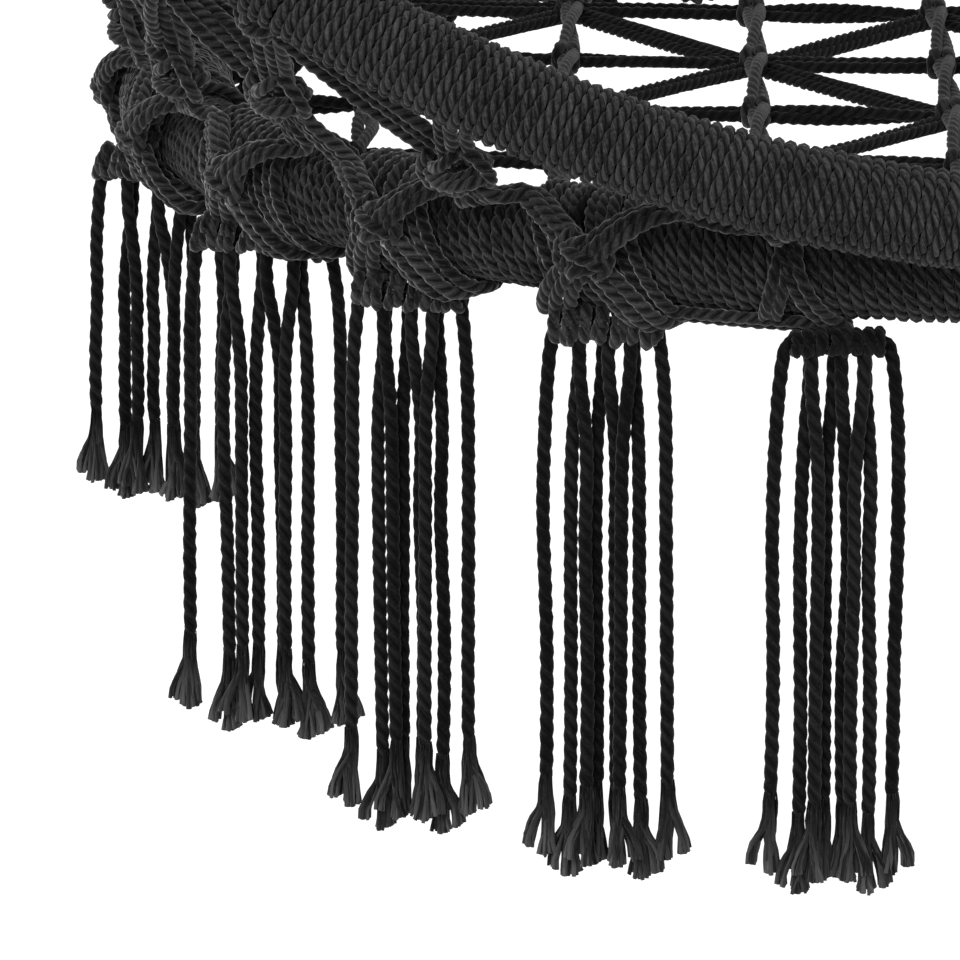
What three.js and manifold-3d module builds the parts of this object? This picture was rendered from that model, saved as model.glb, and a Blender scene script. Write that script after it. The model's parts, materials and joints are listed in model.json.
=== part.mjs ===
// A hanging macrame chair: a knotted seat in a small level hoop, a taller backrest net tied up to a
// larger leaning hoop, four ropes to a steel ring, and a fringe of tassels round the front of the seat.
// Millimetres and degrees, +Z up, -Y the front. The origin is where a hook carries the steel ring.

import * as THREE from "three";
import { mergeVertices } from "three/addons/utils/BufferGeometryUtils.js";
import Module from "manifold-3d";

const wasm = await Module();
wasm.setup();

// Overall sizes
const seatHoopAcross = 600;
const backHoopAcross = 800;
const seatDrop = 1150; // hook down to the middle of the seat hoop
const balanceShift = -8.4; // moves the chair along Y until its weight hangs under the hook

// Hoops and their winding
const hoopTube = 22;
const hoopWall = 1.2;
const weldSlit = 1; // the hoop's ends meet at the back and leave this slit
const windingCord = 4.4;
const backTilt = 34.7; // degrees up from level
const touchRise = 36.4; // degrees above level, from the seat hoop's front to the back hoop's
const windingSections = 4;

// Clearances
const restGap = 0.3; // between pieces that touch
const loopGap = 0.5; // between a loop and the winding inside it
const eyeGap = 1; // between a rope's eye and the ring's wire
const turnGap = 0.7; // between turns of the lashing

// Hanging ring and ropes
const ringWire = 8;
const ringBore = 60;
const rope = 8;
const ropeFrontAngle = 71.25; // degrees from the front, on the back hoop
const ropeRearAngle = 138.75;
const headWhippingTop = 52; // below the middle of the ring's lower wire
const headWhippingLength = 40;
const whippingWall = 3;
const ropeWhippingLength = 40;
const ropeWhippingStart = 30; // from the rope's lower loop

// Hitches, where the nets' cords come round the seat hoop
const hitchCount = 24;
const hitchCord = 4.4;

// Seat net
const seatCellWide = 66.4; // between two columns
const seatCellDeep = 86.5; // between two rows
const seatCordBand = 8.4; // a pair of cords side by side
const seatNetThickness = 5;
const seatSag = 4;
const seatNetTurn = -10.3; // degrees: the net's rows against the hoop's front
const seatRowShiftShare = 0.731; // of a cell
const seatColumnShiftShare = -0.266;
const borderSpots = 48;
const tieCord = 4.4;
const tieSpacing = 7.7; // along the hoop, from a hitch to the net's tie beside it

// Back net
const backFirstColumn = 5; // half hoop steps from the front, where the hoops stand far enough apart
const backRow = 44;
const backFirstRow = 27; // above the seat hoop's middle
const backCordBand = 8;
const backNetThickness = 5;
const backNetOffset = 9; // outwards, at its foot

// Tassels, on the front half only
const tasselAngles = [7.5, 22.5, 37.5, 52.5, 67.5, 90]; // degrees from the front, either way
const tasselLengthShares = [1, 1, 1.02, 1.01, 0.925, 0.63];
const tasselSpreadShares = [1, 1, 1, 1, 1.4, 1.35]; // how far apart its cords hang
const tasselFacingShare = 0.45; // of its angle: how far a tassel's row turns away from the front
const tasselCord = 4.4;
const tasselLength = 172.5;
const tasselHeadHeight = 7;
const tasselHeadDepth = 11;
const strandAcrossShares = [4.39, 2.43, 1.27, 0.7]; // of the cord, from the middle
const strandDepthShares = [0, 0, 0.5, -0.5];
const strandLengthShares = [0.962, 1, 0.976, 0.976]; // of the longest

// Front lashing
const lashingCord = 4.4;
const lashingTurns = 6;

// Facets
const wallSides = 8;
const cordSides = 6;
const loopSides = 4;
const tieSides = 3;
const strandSides = 4;
const loopSteps = 8;
const lashingSteps = 20; // in a turn
const lashingSides = 5;
const ringSteps = 24;

const weldDistance = 1e-4;
const overrun = 2; // how far joined pieces run into each other

// Worked out from the sizes above
const radians = THREE.MathUtils.degToRad;
const hoopStep = 360 / hitchCount; // a hoop has a straight facet between each pair of hitches
const halfStep = hoopStep / 2;
const bandRadius = hoopTube / 2 + windingCord;
const seatRadius = seatHoopAcross / 2 - bandRadius;
const backRadius = backHoopAcross / 2 - bandRadius;
const hoopsApart = 2 * bandRadius + restGap;
const loopInner = bandRadius + loopGap;
const lashingRadius = bandRadius + 2 * loopGap + lashingCord / 2;
const borderRadius = // the seat net's border cord lies just inside the lashing
  seatRadius * Math.cos(radians(halfStep)) - lashingRadius - lashingCord / 2 - restGap - seatCordBand / 2;
const touching = 1.2 * hoopStep; // degrees: nearer the front than this, the hoops leave no room for a loop
const ringRadius = ringBore / 2 + ringWire / 2;
const ringMiddle = -ringBore / 2;
const lowerWire = ringMiddle - ringRadius;
const flatShare = Math.cos(Math.PI / loopSteps); // a polygon's flats against its corners

const up = new THREE.Vector3(0, 0, 1);
const side = new THREE.Vector3(1, 0, 0);

const steel = new THREE.MeshStandardMaterial({ color: 0xb9bcc0, roughness: 0.28, metalness: 1 });
const tubeSteel = new THREE.MeshStandardMaterial({ color: 0x3a3b3d, roughness: 0.5, metalness: 1 });
const windingCotton = new THREE.MeshStandardMaterial({ color: 0x303032, roughness: 0.95, metalness: 0 });
const netCotton = new THREE.MeshStandardMaterial({ color: 0x2c2c2e, roughness: 0.95, metalness: 0 });
const tasselCotton = new THREE.MeshStandardMaterial({ color: 0x161617, roughness: 0.95, metalness: 0 });
const ropeCotton = new THREE.MeshStandardMaterial({ color: 0x28282a, roughness: 0.95, metalness: 0 });

const hammockChair = new THREE.Group();
const chair = new THREE.Group(); // its origin is the middle of the seat hoop
chair.position.set(0, balanceShift, -seatDrop);
hammockChair.add(chair);

function addPiece(parent, name, geometry, material) {
  const mesh = new THREE.Mesh(geometry, material);
  mesh.name = name;
  parent.add(mesh);
}

// Closed geometry from points and faces of three or more corners
function closedMesh(points, faces) {
  const geometry = new THREE.BufferGeometry();
  geometry.setAttribute("position", new THREE.Float32BufferAttribute(points.flatMap((p) => p.toArray()), 3));
  const triangles = faces.flatMap((face) =>
    face.slice(2).flatMap((corner, i) => [face[0], face[i + 1], corner]),
  );
  geometry.setIndex(triangles);
  geometry.computeVertexNormals();
  return geometry;
}

function solidOf(geometry) {
  const bare = geometry.clone();
  bare.deleteAttribute("normal");
  bare.deleteAttribute("uv");
  const merged = mergeVertices(bare, weldDistance);
  return new wasm.Manifold(
    new wasm.Mesh({
      numProp: 3,
      vertProperties: merged.attributes.position.array,
      triVerts: Uint32Array.from(merged.index.array),
    }),
  );
}

function join(geometries) {
  const body = geometries.map(solidOf).reduce((all, next) => all.add(next));
  const mesh = body.getMesh();
  const points = [];
  for (let i = 0; i < mesh.numVert; i++) {
    points.push(new THREE.Vector3().fromArray(mesh.vertProperties, i * mesh.numProp));
  }
  const faces = [];
  for (let i = 0; i < mesh.numTri; i++) {
    faces.push([...mesh.triVerts.slice(3 * i, 3 * i + 3)]);
  }
  return closedMesh(points, faces);
}

// Simple solids
function rod(from, to, across, sides = cordSides) {
  const along = to.clone().sub(from);
  const geometry = new THREE.CylinderGeometry(across / 2, across / 2, along.length(), sides);
  geometry.applyQuaternion(
    new THREE.Quaternion().setFromUnitVectors(new THREE.Vector3(0, 1, 0), along.clone().normalize()),
  );
  return geometry.translate(...from.clone().add(to).multiplyScalar(0.5).toArray());
}

// A closed loop of cord round a station of a hoop, its corners in line with the winding's
function loop(station, inner, across, sides = loopSides, steps = loopSteps) {
  const geometry = new THREE.TorusGeometry(inner + across / 2, across / 2, sides, steps);
  const turned = new THREE.Matrix4().makeBasis(station.across, station.up, station.along);
  return geometry.applyMatrix4(turned.setPosition(station.at));
}

// A tube wall through stations, open at both ends. A station's stretch widens it at a mitre.
function wall(stations, outer, inner) {
  const points = [];
  for (const station of stations) {
    for (const radius of [outer, inner]) {
      for (let i = 0; i < wallSides; i++) {
        const turn = (2 * Math.PI * i) / wallSides;
        points.push(
          station.at
            .clone()
            .addScaledVector(station.across, radius * Math.cos(turn) * station.stretch)
            .addScaledVector(station.up, radius * Math.sin(turn)),
        );
      }
    }
  }
  const corner = (at, layer, i) => (2 * at + layer) * wallSides + (i % wallSides);
  const last = stations.length - 1;
  const faces = [];
  for (let i = 0; i < wallSides; i++) {
    for (let at = 0; at < last; at++) {
      faces.push([corner(at, 0, i), corner(at, 0, i + 1), corner(at + 1, 0, i + 1), corner(at + 1, 0, i)]);
      faces.push([corner(at, 1, i), corner(at + 1, 1, i), corner(at + 1, 1, i + 1), corner(at, 1, i + 1)]);
    }
    faces.push([corner(0, 0, i), corner(0, 1, i), corner(0, 1, i + 1), corner(0, 0, i + 1)]);
    faces.push([corner(last, 0, i), corner(last, 0, i + 1), corner(last, 1, i + 1), corner(last, 1, i)]);
  }
  return closedMesh(points, faces);
}

// A hoop's middle line, as its facets run. Angles count from the front towards +X.
const level = new THREE.Matrix4();
const leaning = new THREE.Matrix4()
  .makeTranslation(
    0,
    -seatRadius - hoopsApart * Math.cos(radians(touchRise)),
    hoopsApart * Math.sin(radians(touchRise)),
  )
  .multiply(new THREE.Matrix4().makeRotationX(radians(backTilt)))
  .multiply(new THREE.Matrix4().makeTranslation(0, backRadius, 0));

function stationOn(radius, frame, angle) {
  const fromFlat = THREE.MathUtils.euclideanModulo(angle + halfStep, hoopStep) - halfStep;
  const flat = radius * Math.cos(radians(halfStep));
  const out = new THREE.Vector3(Math.sin(radians(angle)), -Math.cos(radians(angle)), 0);
  const at = out.clone().multiplyScalar(flat / Math.cos(radians(fromFlat)));
  const atCorner = Math.abs(Math.abs(fromFlat) - halfStep) < 1e-6;
  const facing = atCorner ? angle : angle - fromFlat;
  const inwards = new THREE.Vector3(-Math.sin(radians(facing)), Math.cos(radians(facing)), 0);
  const across = inwards.transformDirection(frame);
  const upwards = up.clone().transformDirection(frame);
  return {
    at: at.applyMatrix4(frame),
    across,
    up: upwards,
    along: across.clone().cross(upwards),
    stretch: atCorner ? 1 / Math.cos(radians(halfStep)) : 1,
  };
}

function hoopArc(radius, frame, from, to) {
  const angles = [from];
  for (let k = Math.ceil((from - halfStep) / hoopStep); halfStep + k * hoopStep < to; k++) {
    const corner = halfStep + k * hoopStep;
    if (corner > from) {
      angles.push(corner);
    }
  }
  angles.push(to);
  return angles.map((angle) => stationOn(radius, frame, angle));
}

function addHoop(name, radius, frame) {
  const degreesPer = (length) => THREE.MathUtils.radToDeg(length / radius);
  const slit = degreesPer(weldSlit / 2);
  const tube = hoopArc(radius, frame, -180 + slit, 180 - slit);
  addPiece(chair, `${name}_hoop_tube`, wall(tube, hoopTube / 2, hoopTube / 2 - hoopWall), tubeSteel);
  const places = ["front", "right", "rear", "left"];
  const turn = 360 / windingSections;
  const end = degreesPer(restGap / 2);
  for (let i = 0; i < windingSections; i++) {
    const arc = hoopArc(radius, frame, (i - 0.5) * turn + end, (i + 0.5) * turn - end);
    const winding = wall(arc, bandRadius, hoopTube / 2 + restGap);
    addPiece(chair, `${name}_winding_${places[i]}`, winding, windingCotton);
  }
}

// A net as one plate. Spots are [u, v], ties are pairs of spots, and place(u, v, out) gives a point at a
// height over the net's middle surface. Each tie is a bar, and where bars meet their edges share corners.
function netPlate(spots, ties, band, thickness, place) {
  const near = spots.map(() => []);
  ties.forEach(([a, b]) => {
    near[a].push(b);
    near[b].push(a);
  });
  const points = [];
  const faces = [];
  const layerOf = (u, v) => {
    points.push(place(u, v, thickness / 2), place(u, v, -thickness / 2));
    return points.length - 2;
  };
  const cornersOf = spots.map(([u, v], spot) => {
    const arms = near[spot].map((other) => {
      const [du, dv] = [spots[other][0] - u, spots[other][1] - v];
      return { other, angle: Math.atan2(dv, du), length: Math.hypot(du, dv) };
    });
    arms.sort((a, b) => a.angle - b.angle);
    const reach = 0.45 * Math.min(...arms.map((arm) => arm.length));
    const corners = new Map(); // the far arm's spot to the corner on its left, going round
    arms.forEach((arm, i) => {
      const next = arms[(i + 1) % arms.length];
      const wide = THREE.MathUtils.euclideanModulo(next.angle - arm.angle, 2 * Math.PI) || 2 * Math.PI;
      if (arms.length === 1) {
        const ends = [1, -1].map((s) => arm.angle + (s * Math.PI) / 2);
        const [left, right] = ends.map((a) => layerOf(u + (band / 2) * Math.cos(a), v + (band / 2) * Math.sin(a)));
        corners.set(arm.other, { left, right });
        return;
      }
      const middle = arm.angle + wide / 2;
      const away = Math.min(band / 2 / Math.sin(wide / 2), reach);
      const at = layerOf(u + away * Math.cos(middle), v + away * Math.sin(middle));
      corners.set(arm.other, { ...corners.get(arm.other), left: at });
      corners.set(next.other, { ...corners.get(next.other), right: at });
    });
    if (arms.length > 2) {
      faces.push(arms.map((arm) => corners.get(arm.other).left));
    }
    return corners;
  });
  ties.forEach(([a, b]) => {
    const [at, far] = [cornersOf[a].get(b), cornersOf[b].get(a)];
    faces.push([at.left, at.right, far.left, far.right]);
  });
  const edges = new Set();
  faces.forEach((face) => face.forEach((from, i) => edges.add(`${from} ${face[(i + 1) % face.length]}`)));
  const under = faces.map((face) => face.map((corner) => corner + 1).reverse());
  const sides = [];
  edges.forEach((edge) => {
    const [from, to] = edge.split(" ").map(Number);
    if (!edges.has(`${to} ${from}`)) {
      sides.push([from, from + 1, to + 1, to]);
    }
  });
  return closedMesh(points, [...faces, ...under, ...sides]);
}

// Spots and ties that are named once and looked up again
function netList() {
  const spots = [];
  const ties = [];
  const known = new Map();
  const tied = new Set();
  return {
    spots,
    ties,
    spot(name, u, v) {
      if (!known.has(name)) {
        known.set(name, spots.push([u, v]) - 1);
      }
      return known.get(name);
    },
    tie(a, b) {
      const name = `${Math.min(a, b)} ${Math.max(a, b)}`;
      if (a !== b && !tied.has(name)) {
        tied.add(name);
        ties.push([a, b]);
      }
    },
  };
}

// Seat net: oblong cells with a slant through every other knot, tied to a border cord
function seatNetPlate() {
  const net = netList();
  const turn = radians(seatNetTurn);
  const margin = seatCellWide / 4;
  const latticePoint = (i, j) => {
    const [u, v] = [(i + seatColumnShiftShare) * seatCellWide, (j + seatRowShiftShare) * seatCellDeep];
    return [u * Math.cos(turn) - v * Math.sin(turn), u * Math.sin(turn) + v * Math.cos(turn)];
  };
  const borderSpot = (x, y) => {
    const k = Math.round((Math.atan2(y, x) / (2 * Math.PI)) * borderSpots);
    const at = (2 * Math.PI * k) / borderSpots;
    const name = `border ${THREE.MathUtils.euclideanModulo(k, borderSpots)}`;
    return net.spot(name, borderRadius * Math.cos(at), borderRadius * Math.sin(at));
  };
  const spread = Math.ceil(borderRadius / seatCellWide) + 1;
  const inside = (x, y) => Math.hypot(x, y) < borderRadius - margin;
  for (let k = 0; k < borderSpots; k++) {
    const [here, next] = [k, k + 1].map((step) => (2 * Math.PI * step) / borderSpots);
    net.tie(borderSpot(Math.cos(here), Math.sin(here)), borderSpot(Math.cos(next), Math.sin(next)));
  }
  const knot = (i, j) => net.spot(`knot ${i} ${j}`, ...latticePoint(i, j));
  for (let i = -spread; i <= spread; i++) {
    for (let j = -spread; j <= spread; j++) {
      const [x, y] = latticePoint(i, j);
      if (!inside(x, y)) {
        continue;
      }
      for (const [di, dj] of [[1, 0], [-1, 0], [0, 1], [0, -1]]) {
        const [nx, ny] = latticePoint(i + di, j + dj);
        if (inside(nx, ny)) {
          net.tie(knot(i, j), knot(i + di, j + dj));
        } else if (Math.hypot(nx, ny) < borderRadius + margin) {
          net.tie(knot(i, j), borderSpot(nx, ny));
        } else {
          const step = Math.hypot(nx - x, ny - y);
          const [dx, dy] = [(nx - x) / step, (ny - y) / step];
          const along = x * dx + y * dy;
          const run = Math.sqrt(along ** 2 + borderRadius ** 2 - x ** 2 - y ** 2) - along;
          net.tie(knot(i, j), borderSpot(x + dx * run, y + dy * run));
        }
      }
      for (const [di, dj] of [[1, 1], [-1, 1]]) {
        const starred = THREE.MathUtils.euclideanModulo(i + j, 2) === 1;
        if (starred && inside(...latticePoint(i + di, j + dj))) {
          net.tie(knot(i, j), knot(i + di, j + dj));
        }
      }
    }
  }
  const place = (x, y, out) => {
    const hang = Math.max(0, 1 - (x ** 2 + y ** 2) / borderRadius ** 2);
    return new THREE.Vector3(x, y, out - seatSag * hang);
  };
  return netPlate(net.spots, net.ties, seatCordBand, seatNetThickness, place);
}

function seatNet() {
  const ties = [];
  const beside = THREE.MathUtils.radToDeg(tieSpacing / seatRadius);
  for (let hitch = halfStep - 180; hitch < 180; hitch += hoopStep) {
    if (Math.abs(hitch) > touching) {
      const station = stationOn(seatRadius, level, hitch + Math.sign(hitch) * beside);
      const inwards = (length) => station.at.clone().addScaledVector(station.across, length);
      ties.push(loop(station, loopInner, tieCord, tieSides));
      ties.push(rod(inwards(loopInner + tieCord / 2), inwards(seatRadius - borderRadius), tieCord, tieSides));
    }
  }
  return join([seatNetPlate(), ...ties]);
}

// Back net: diamonds between the hoops. A column is half a hoop step wide, and a strand climbs a row
// for each column until it meets the back hoop.
function backNet() {
  const net = netList();
  const columns = 2 * hitchCount;
  const meanRadius = (seatRadius + backRadius) / 2;
  const columnWidth = meanRadius * radians(halfStep);
  const rise = (column) => {
    const [low, high] = [
      stationOn(seatRadius, level, column * halfStep),
      stationOn(backRadius, leaning, column * halfStep),
    ];
    const climb = high.at.clone().sub(low.at);
    const slant = climb.clone().normalize().cross(high.along).length();
    const length = climb.length() - (bandRadius + loopGap) / slant - backCordBand;
    const outwards = low.along.clone().cross(climb).normalize();
    return { low, climb: climb.normalize(), length, outwards };
  };
  const rises = Array.from({ length: columns }, (_, column) => rise(column));
  const heightOf = (row) => (row === 0 ? backFirstRow : row * backRow);
  const isKnot = (column, row) => heightOf(row) < rises[column].length - backRow / 2;
  const spotOf = (column, row) => {
    const knot = row === 0 || isKnot(column, row);
    const height = knot ? heightOf(row) : rises[column].length;
    return net.spot(knot ? `${column} ${row}` : `${column} top`, column * columnWidth, height);
  };
  for (let row = 0; heightOf(row) < Math.max(...rises.map((r) => r.length)); row++) {
    for (let column = backFirstColumn; column <= columns - backFirstColumn; column++) {
      const starts = (column + row) % 2 === 1 && (row === 0 || isKnot(column, row));
      for (const next of starts ? [column - 1, column + 1] : []) {
        net.tie(spotOf(column, row), spotOf(next, row + 1));
      }
    }
  }
  const place = (u, height, out) => {
    const column = u / columnWidth;
    const [a, b] = [Math.floor(column), Math.ceil(column)].map((k) => rises[k]);
    const share = column - Math.floor(column);
    const at = (r) => {
      const offset = backNetOffset * Math.max(0, 1 - height / r.length);
      return r.low.at.clone().addScaledVector(r.climb, height).addScaledVector(r.outwards, offset + out);
    };
    return at(a).lerp(at(b), share);
  };
  return netPlate(net.spots, net.ties, backCordBand, backNetThickness, place);
}

// Tassel: a hitch round the seat hoop, a head under it and eight strands
function tassel(angle, length, spread) {
  const station = stationOn(seatRadius, level, angle);
  const facing = radians(angle * tasselFacingShare);
  const out = new THREE.Vector3(Math.sin(facing), -Math.cos(facing), 0);
  const wide = up.clone().cross(out);
  const hang = station.at.clone().addScaledVector(station.across, -2 * hitchCord);
  const top = -loopInner - hitchCord - restGap;
  const at = (across, depth, height) =>
    hang.clone().addScaledVector(out, depth).addScaledVector(wide, across).setZ(height);
  const headWidth = (2 * strandAcrossShares[0] * spread + 1) * tasselCord;
  const head = new THREE.BoxGeometry(headWidth, tasselHeadDepth, tasselHeadHeight);
  const frame = new THREE.Matrix4().makeBasis(wide, out, wide.clone().cross(out));
  head.applyMatrix4(frame.setPosition(at(0, 0, top - tasselHeadHeight / 2)));
  const neckTop = -Math.sqrt((loopInner + hitchCord / 2) ** 2 - (2 * hitchCord) ** 2);
  const pieces = [head, rod(at(0, 0, top - overrun), at(0, 0, neckTop), hitchCord, loopSides)];
  if (Math.abs(angle) < touching) {
    const reach = [-2, -1, 0, 1, 2].map((k) => (k * 2 * Math.PI) / loopSteps - Math.PI / 2);
    const bow = reach.map((turn) =>
      station.at
        .clone()
        .addScaledVector(station.across, (loopInner + hitchCord / 2) * Math.cos(turn))
        .addScaledVector(up, (loopInner + hitchCord / 2) * Math.sin(turn)),
    );
    bow.slice(1, -1).forEach((to, i) => pieces.push(rod(bow[i], to, hitchCord)));
  } else {
    pieces.push(loop(station, loopInner, hitchCord));
  }
  strandAcrossShares.forEach((share, i) => {
    const drop = top - tasselHeadHeight - length * strandLengthShares[i];
    for (const way of [-1, 1]) {
      const [x, y] = [way * share * spread * tasselCord, strandDepthShares[i] * tasselCord];
      pieces.push(rod(at(x, y, drop), at(x, y, top - tasselHeadHeight + overrun), tasselCord, strandSides));
    }
  });
  return join(pieces);
}

// Front lashing: one cord wound round both hoops where they lie together
function lashing() {
  const [low, high] = [stationOn(seatRadius, level, 0), stationOn(backRadius, leaning, 0)];
  const radius = lashingRadius;
  const between = high.at.clone().sub(low.at);
  const apart = between.length();
  const ahead = between.clone().normalize();
  const square = ahead.clone().cross(side);
  const perimeter = 2 * Math.PI * radius + 2 * apart;
  const pitch = lashingCord + turnGap;
  const round = (share) => {
    const run = share * perimeter;
    const halfTurn = Math.PI * radius;
    const arcAt = (centre, turn) =>
      centre
        .clone()
        .addScaledVector(square, radius * Math.cos(turn))
        .addScaledVector(ahead, radius * Math.sin(turn));
    if (run < apart) {
      return arcAt(low.at, 0).addScaledVector(ahead, run);
    }
    if (run < apart + halfTurn) {
      return arcAt(high.at, (run - apart) / radius);
    }
    if (run < 2 * apart + halfTurn) {
      return arcAt(high.at, Math.PI).addScaledVector(ahead, apart + halfTurn - run);
    }
    return arcAt(low.at, (run - 2 * apart) / radius);
  };
  const points = [];
  for (let i = 0; i <= lashingTurns * lashingSteps; i++) {
    const turns = i / lashingSteps;
    points.push(round(turns % 1).addScaledVector(side, (turns - lashingTurns / 2) * pitch));
  }
  let nearest = Infinity;
  points.forEach((a, i) =>
    points.slice(i + lashingSteps / 2).forEach((b) => {
      nearest = Math.min(nearest, a.distanceTo(b));
    }),
  );
  console.log(`front lashing: least gap between turns ${(nearest - lashingCord).toFixed(2)} mm`);
  return cordThrough(points, lashingCord, lashingSides);
}

// A cord through close points, as straight runs from one to the next
function cordThrough(points, across, sides) {
  const section = new THREE.Shape();
  for (let i = 0; i < sides; i++) {
    const turn = (2 * Math.PI * i) / sides;
    const [x, y] = [(across / 2) * Math.cos(turn), (across / 2) * Math.sin(turn)];
    if (i === 0) {
      section.moveTo(x, y);
    } else {
      section.lineTo(x, y);
    }
  }
  section.closePath();
  const path = new THREE.CatmullRomCurve3(points);
  return new THREE.ExtrudeGeometry(section, { steps: points.length - 1, extrudePath: path });
}

// Suspension rope: a loop round the steel ring's wire, a run through the whipping, then straight to a
// loop round the back hoop
const eyePitch = rope + 2 * restGap;
const whippingTop = lowerWire - headWhippingTop;
const whippingBottom = whippingTop - headWhippingLength;
const ropes = [
  { name: "front_left", eye: -1.5, angle: -ropeFrontAngle },
  { name: "rear_left", eye: -0.5, angle: -ropeRearAngle },
  { name: "rear_right", eye: 0.5, angle: ropeRearAngle },
  { name: "front_right", eye: 1.5, angle: ropeFrontAngle },
];

function ropeRun({ eye, angle }) {
  const chairUp = (height) => height + seatDrop;
  const x = eye * eyePitch;
  const wireRise = ringRadius - Math.sqrt(ringRadius ** 2 - x ** 2);
  const eyeInner = (ringWire / 2 + eyeGap + wireRise) / flatShare;
  const station = stationOn(backRadius, leaning, angle);
  const low = new THREE.Vector3(x, -balanceShift, chairUp(whippingBottom) - overrun);
  const away = low.clone().sub(station.at);
  away.addScaledVector(station.along, -away.dot(station.along)).normalize();
  return {
    station,
    eyeAt: new THREE.Vector3(x, -balanceShift, chairUp(lowerWire)),
    eyeInner,
    low,
    foot: station.at.clone().addScaledVector(away, loopInner + rope / 2),
  };
}

function ropeSolid(run) {
  const eye = { at: run.eyeAt, across: new THREE.Vector3(0, 1, 0), up, along: side };
  const eyeFoot = run.eyeAt.clone().addScaledVector(up, -run.eyeInner - rope / 2);
  return join([
    loop(eye, run.eyeInner, rope, cordSides),
    rod(run.low, eyeFoot, rope),
    rod(run.foot, run.low, rope),
    loop(run.station, loopInner, rope, cordSides),
  ]);
}

function sleeveOn(from, to, inner) {
  const along = to.clone().sub(from).normalize();
  const across = side.clone().cross(along).normalize();
  const ends = [from, to].map((at) => ({ at, across, up: along.clone().cross(across), stretch: 1 }));
  return wall(ends, inner + whippingWall, inner);
}

// The whipping that gathers the four ropes side by side under the ring
function headWhipping() {
  const roundEnded = (radius) => {
    const outline = new THREE.Shape();
    outline.absarc(1.5 * eyePitch, 0, radius, -Math.PI / 2, Math.PI / 2);
    outline.absarc(-1.5 * eyePitch, 0, radius, Math.PI / 2, 1.5 * Math.PI);
    return outline;
  };
  const inner = rope / 2 + loopGap;
  const outline = roundEnded(inner + whippingWall);
  outline.holes.push(roundEnded(inner));
  const whipping = new THREE.ExtrudeGeometry(outline, {
    depth: headWhippingLength,
    bevelEnabled: false,
    curveSegments: wallSides,
  });
  return whipping.translate(0, 0, whippingBottom);
}

// The assembly
const hangingRing = new THREE.TorusGeometry(ringRadius, ringWire / 2, wallSides, ringSteps);
hangingRing.rotateX(Math.PI / 2);
hangingRing.translate(0, 0, ringMiddle);
addPiece(hammockChair, "hanging_ring", hangingRing, steel);

addPiece(hammockChair, "head_whipping", headWhipping(), windingCotton);

for (const each of ropes) {
  const run = ropeRun(each);
  addPiece(chair, `rope_${each.name}`, ropeSolid(run), ropeCotton);
  const along = run.low.clone().sub(run.foot).normalize();
  const from = run.foot.clone().addScaledVector(along, ropeWhippingStart);
  const to = from.clone().addScaledVector(along, ropeWhippingLength);
  const inner = (rope / 2 + restGap) / flatShare;
  addPiece(chair, `rope_whipping_${each.name}`, sleeveOn(from, to, inner), windingCotton);
}

addHoop("back", backRadius, leaning);
addHoop("seat", seatRadius, level);
addPiece(chair, "front_lashing", lashing(), windingCotton);
addPiece(chair, "back_net", backNet(), netCotton);
addPiece(chair, "seat_net", seatNet(), netCotton);

const bothWays = (angles) => [...angles, ...angles.map((angle) => -angle).reverse()];
const twoDigits = (i) => String(i + 1).padStart(2, "0");
bothWays(tasselAngles).forEach((angle, i) => {
  const [long, spread] = [tasselLengthShares, tasselSpreadShares].map(
    (shares) => shares[tasselAngles.indexOf(Math.abs(angle))],
  );
  addPiece(chair, `tassel_${twoDigits(i)}`, tassel(angle, tasselLength * long, spread), tasselCotton);
});

const spots = Array.from({ length: hitchCount / 2 }, (_, i) => halfStep + i * hoopStep);
const bare = spots.filter((angle) => !tasselAngles.includes(angle));
bothWays(bare).forEach((angle, i) => {
  const station = stationOn(seatRadius, level, angle);
  addPiece(chair, `net_hitch_${twoDigits(i)}`, loop(station, loopInner, hitchCord), netCotton);
});

export default hammockChair;
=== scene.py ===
# A hanging macrame chair in charcoal cotton: two cord-wound hoops, knotted nets and a tassel fringe.
# Metres and degrees, +Z up, the chair's front towards -Y. Angles round a hoop count from its front
# towards +X, and angles round its tube count from its outer face upwards.

import json
import math

import bpy
import numpy as np
from mathutils import Matrix, Vector


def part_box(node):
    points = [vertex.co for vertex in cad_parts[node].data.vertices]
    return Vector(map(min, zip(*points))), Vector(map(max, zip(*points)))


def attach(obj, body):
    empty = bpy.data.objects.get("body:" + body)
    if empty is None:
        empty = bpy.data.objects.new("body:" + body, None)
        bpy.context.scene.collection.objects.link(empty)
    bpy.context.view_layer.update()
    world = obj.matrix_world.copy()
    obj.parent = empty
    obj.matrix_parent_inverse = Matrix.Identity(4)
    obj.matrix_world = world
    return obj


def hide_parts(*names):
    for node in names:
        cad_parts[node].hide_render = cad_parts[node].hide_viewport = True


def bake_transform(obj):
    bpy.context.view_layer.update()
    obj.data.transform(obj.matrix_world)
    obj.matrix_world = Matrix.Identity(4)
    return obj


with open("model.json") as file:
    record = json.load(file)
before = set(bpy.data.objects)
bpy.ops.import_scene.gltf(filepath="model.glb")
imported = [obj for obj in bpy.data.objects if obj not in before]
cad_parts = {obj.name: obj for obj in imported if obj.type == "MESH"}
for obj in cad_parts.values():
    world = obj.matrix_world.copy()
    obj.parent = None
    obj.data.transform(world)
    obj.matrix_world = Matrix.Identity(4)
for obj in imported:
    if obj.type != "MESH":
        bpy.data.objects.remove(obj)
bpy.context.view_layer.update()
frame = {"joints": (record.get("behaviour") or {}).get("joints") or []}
scene = bpy.context.scene
dice = np.random.default_rng(11)


# Places that the frame gives
hinges = {joint["name"]: np.array(joint["pos_m"]) for joint in frame["joints"]}
seatLow, seatHigh = (np.array(corner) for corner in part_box("seat_hoop_tube"))
seatCentre = (seatLow + seatHigh) / 2

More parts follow.
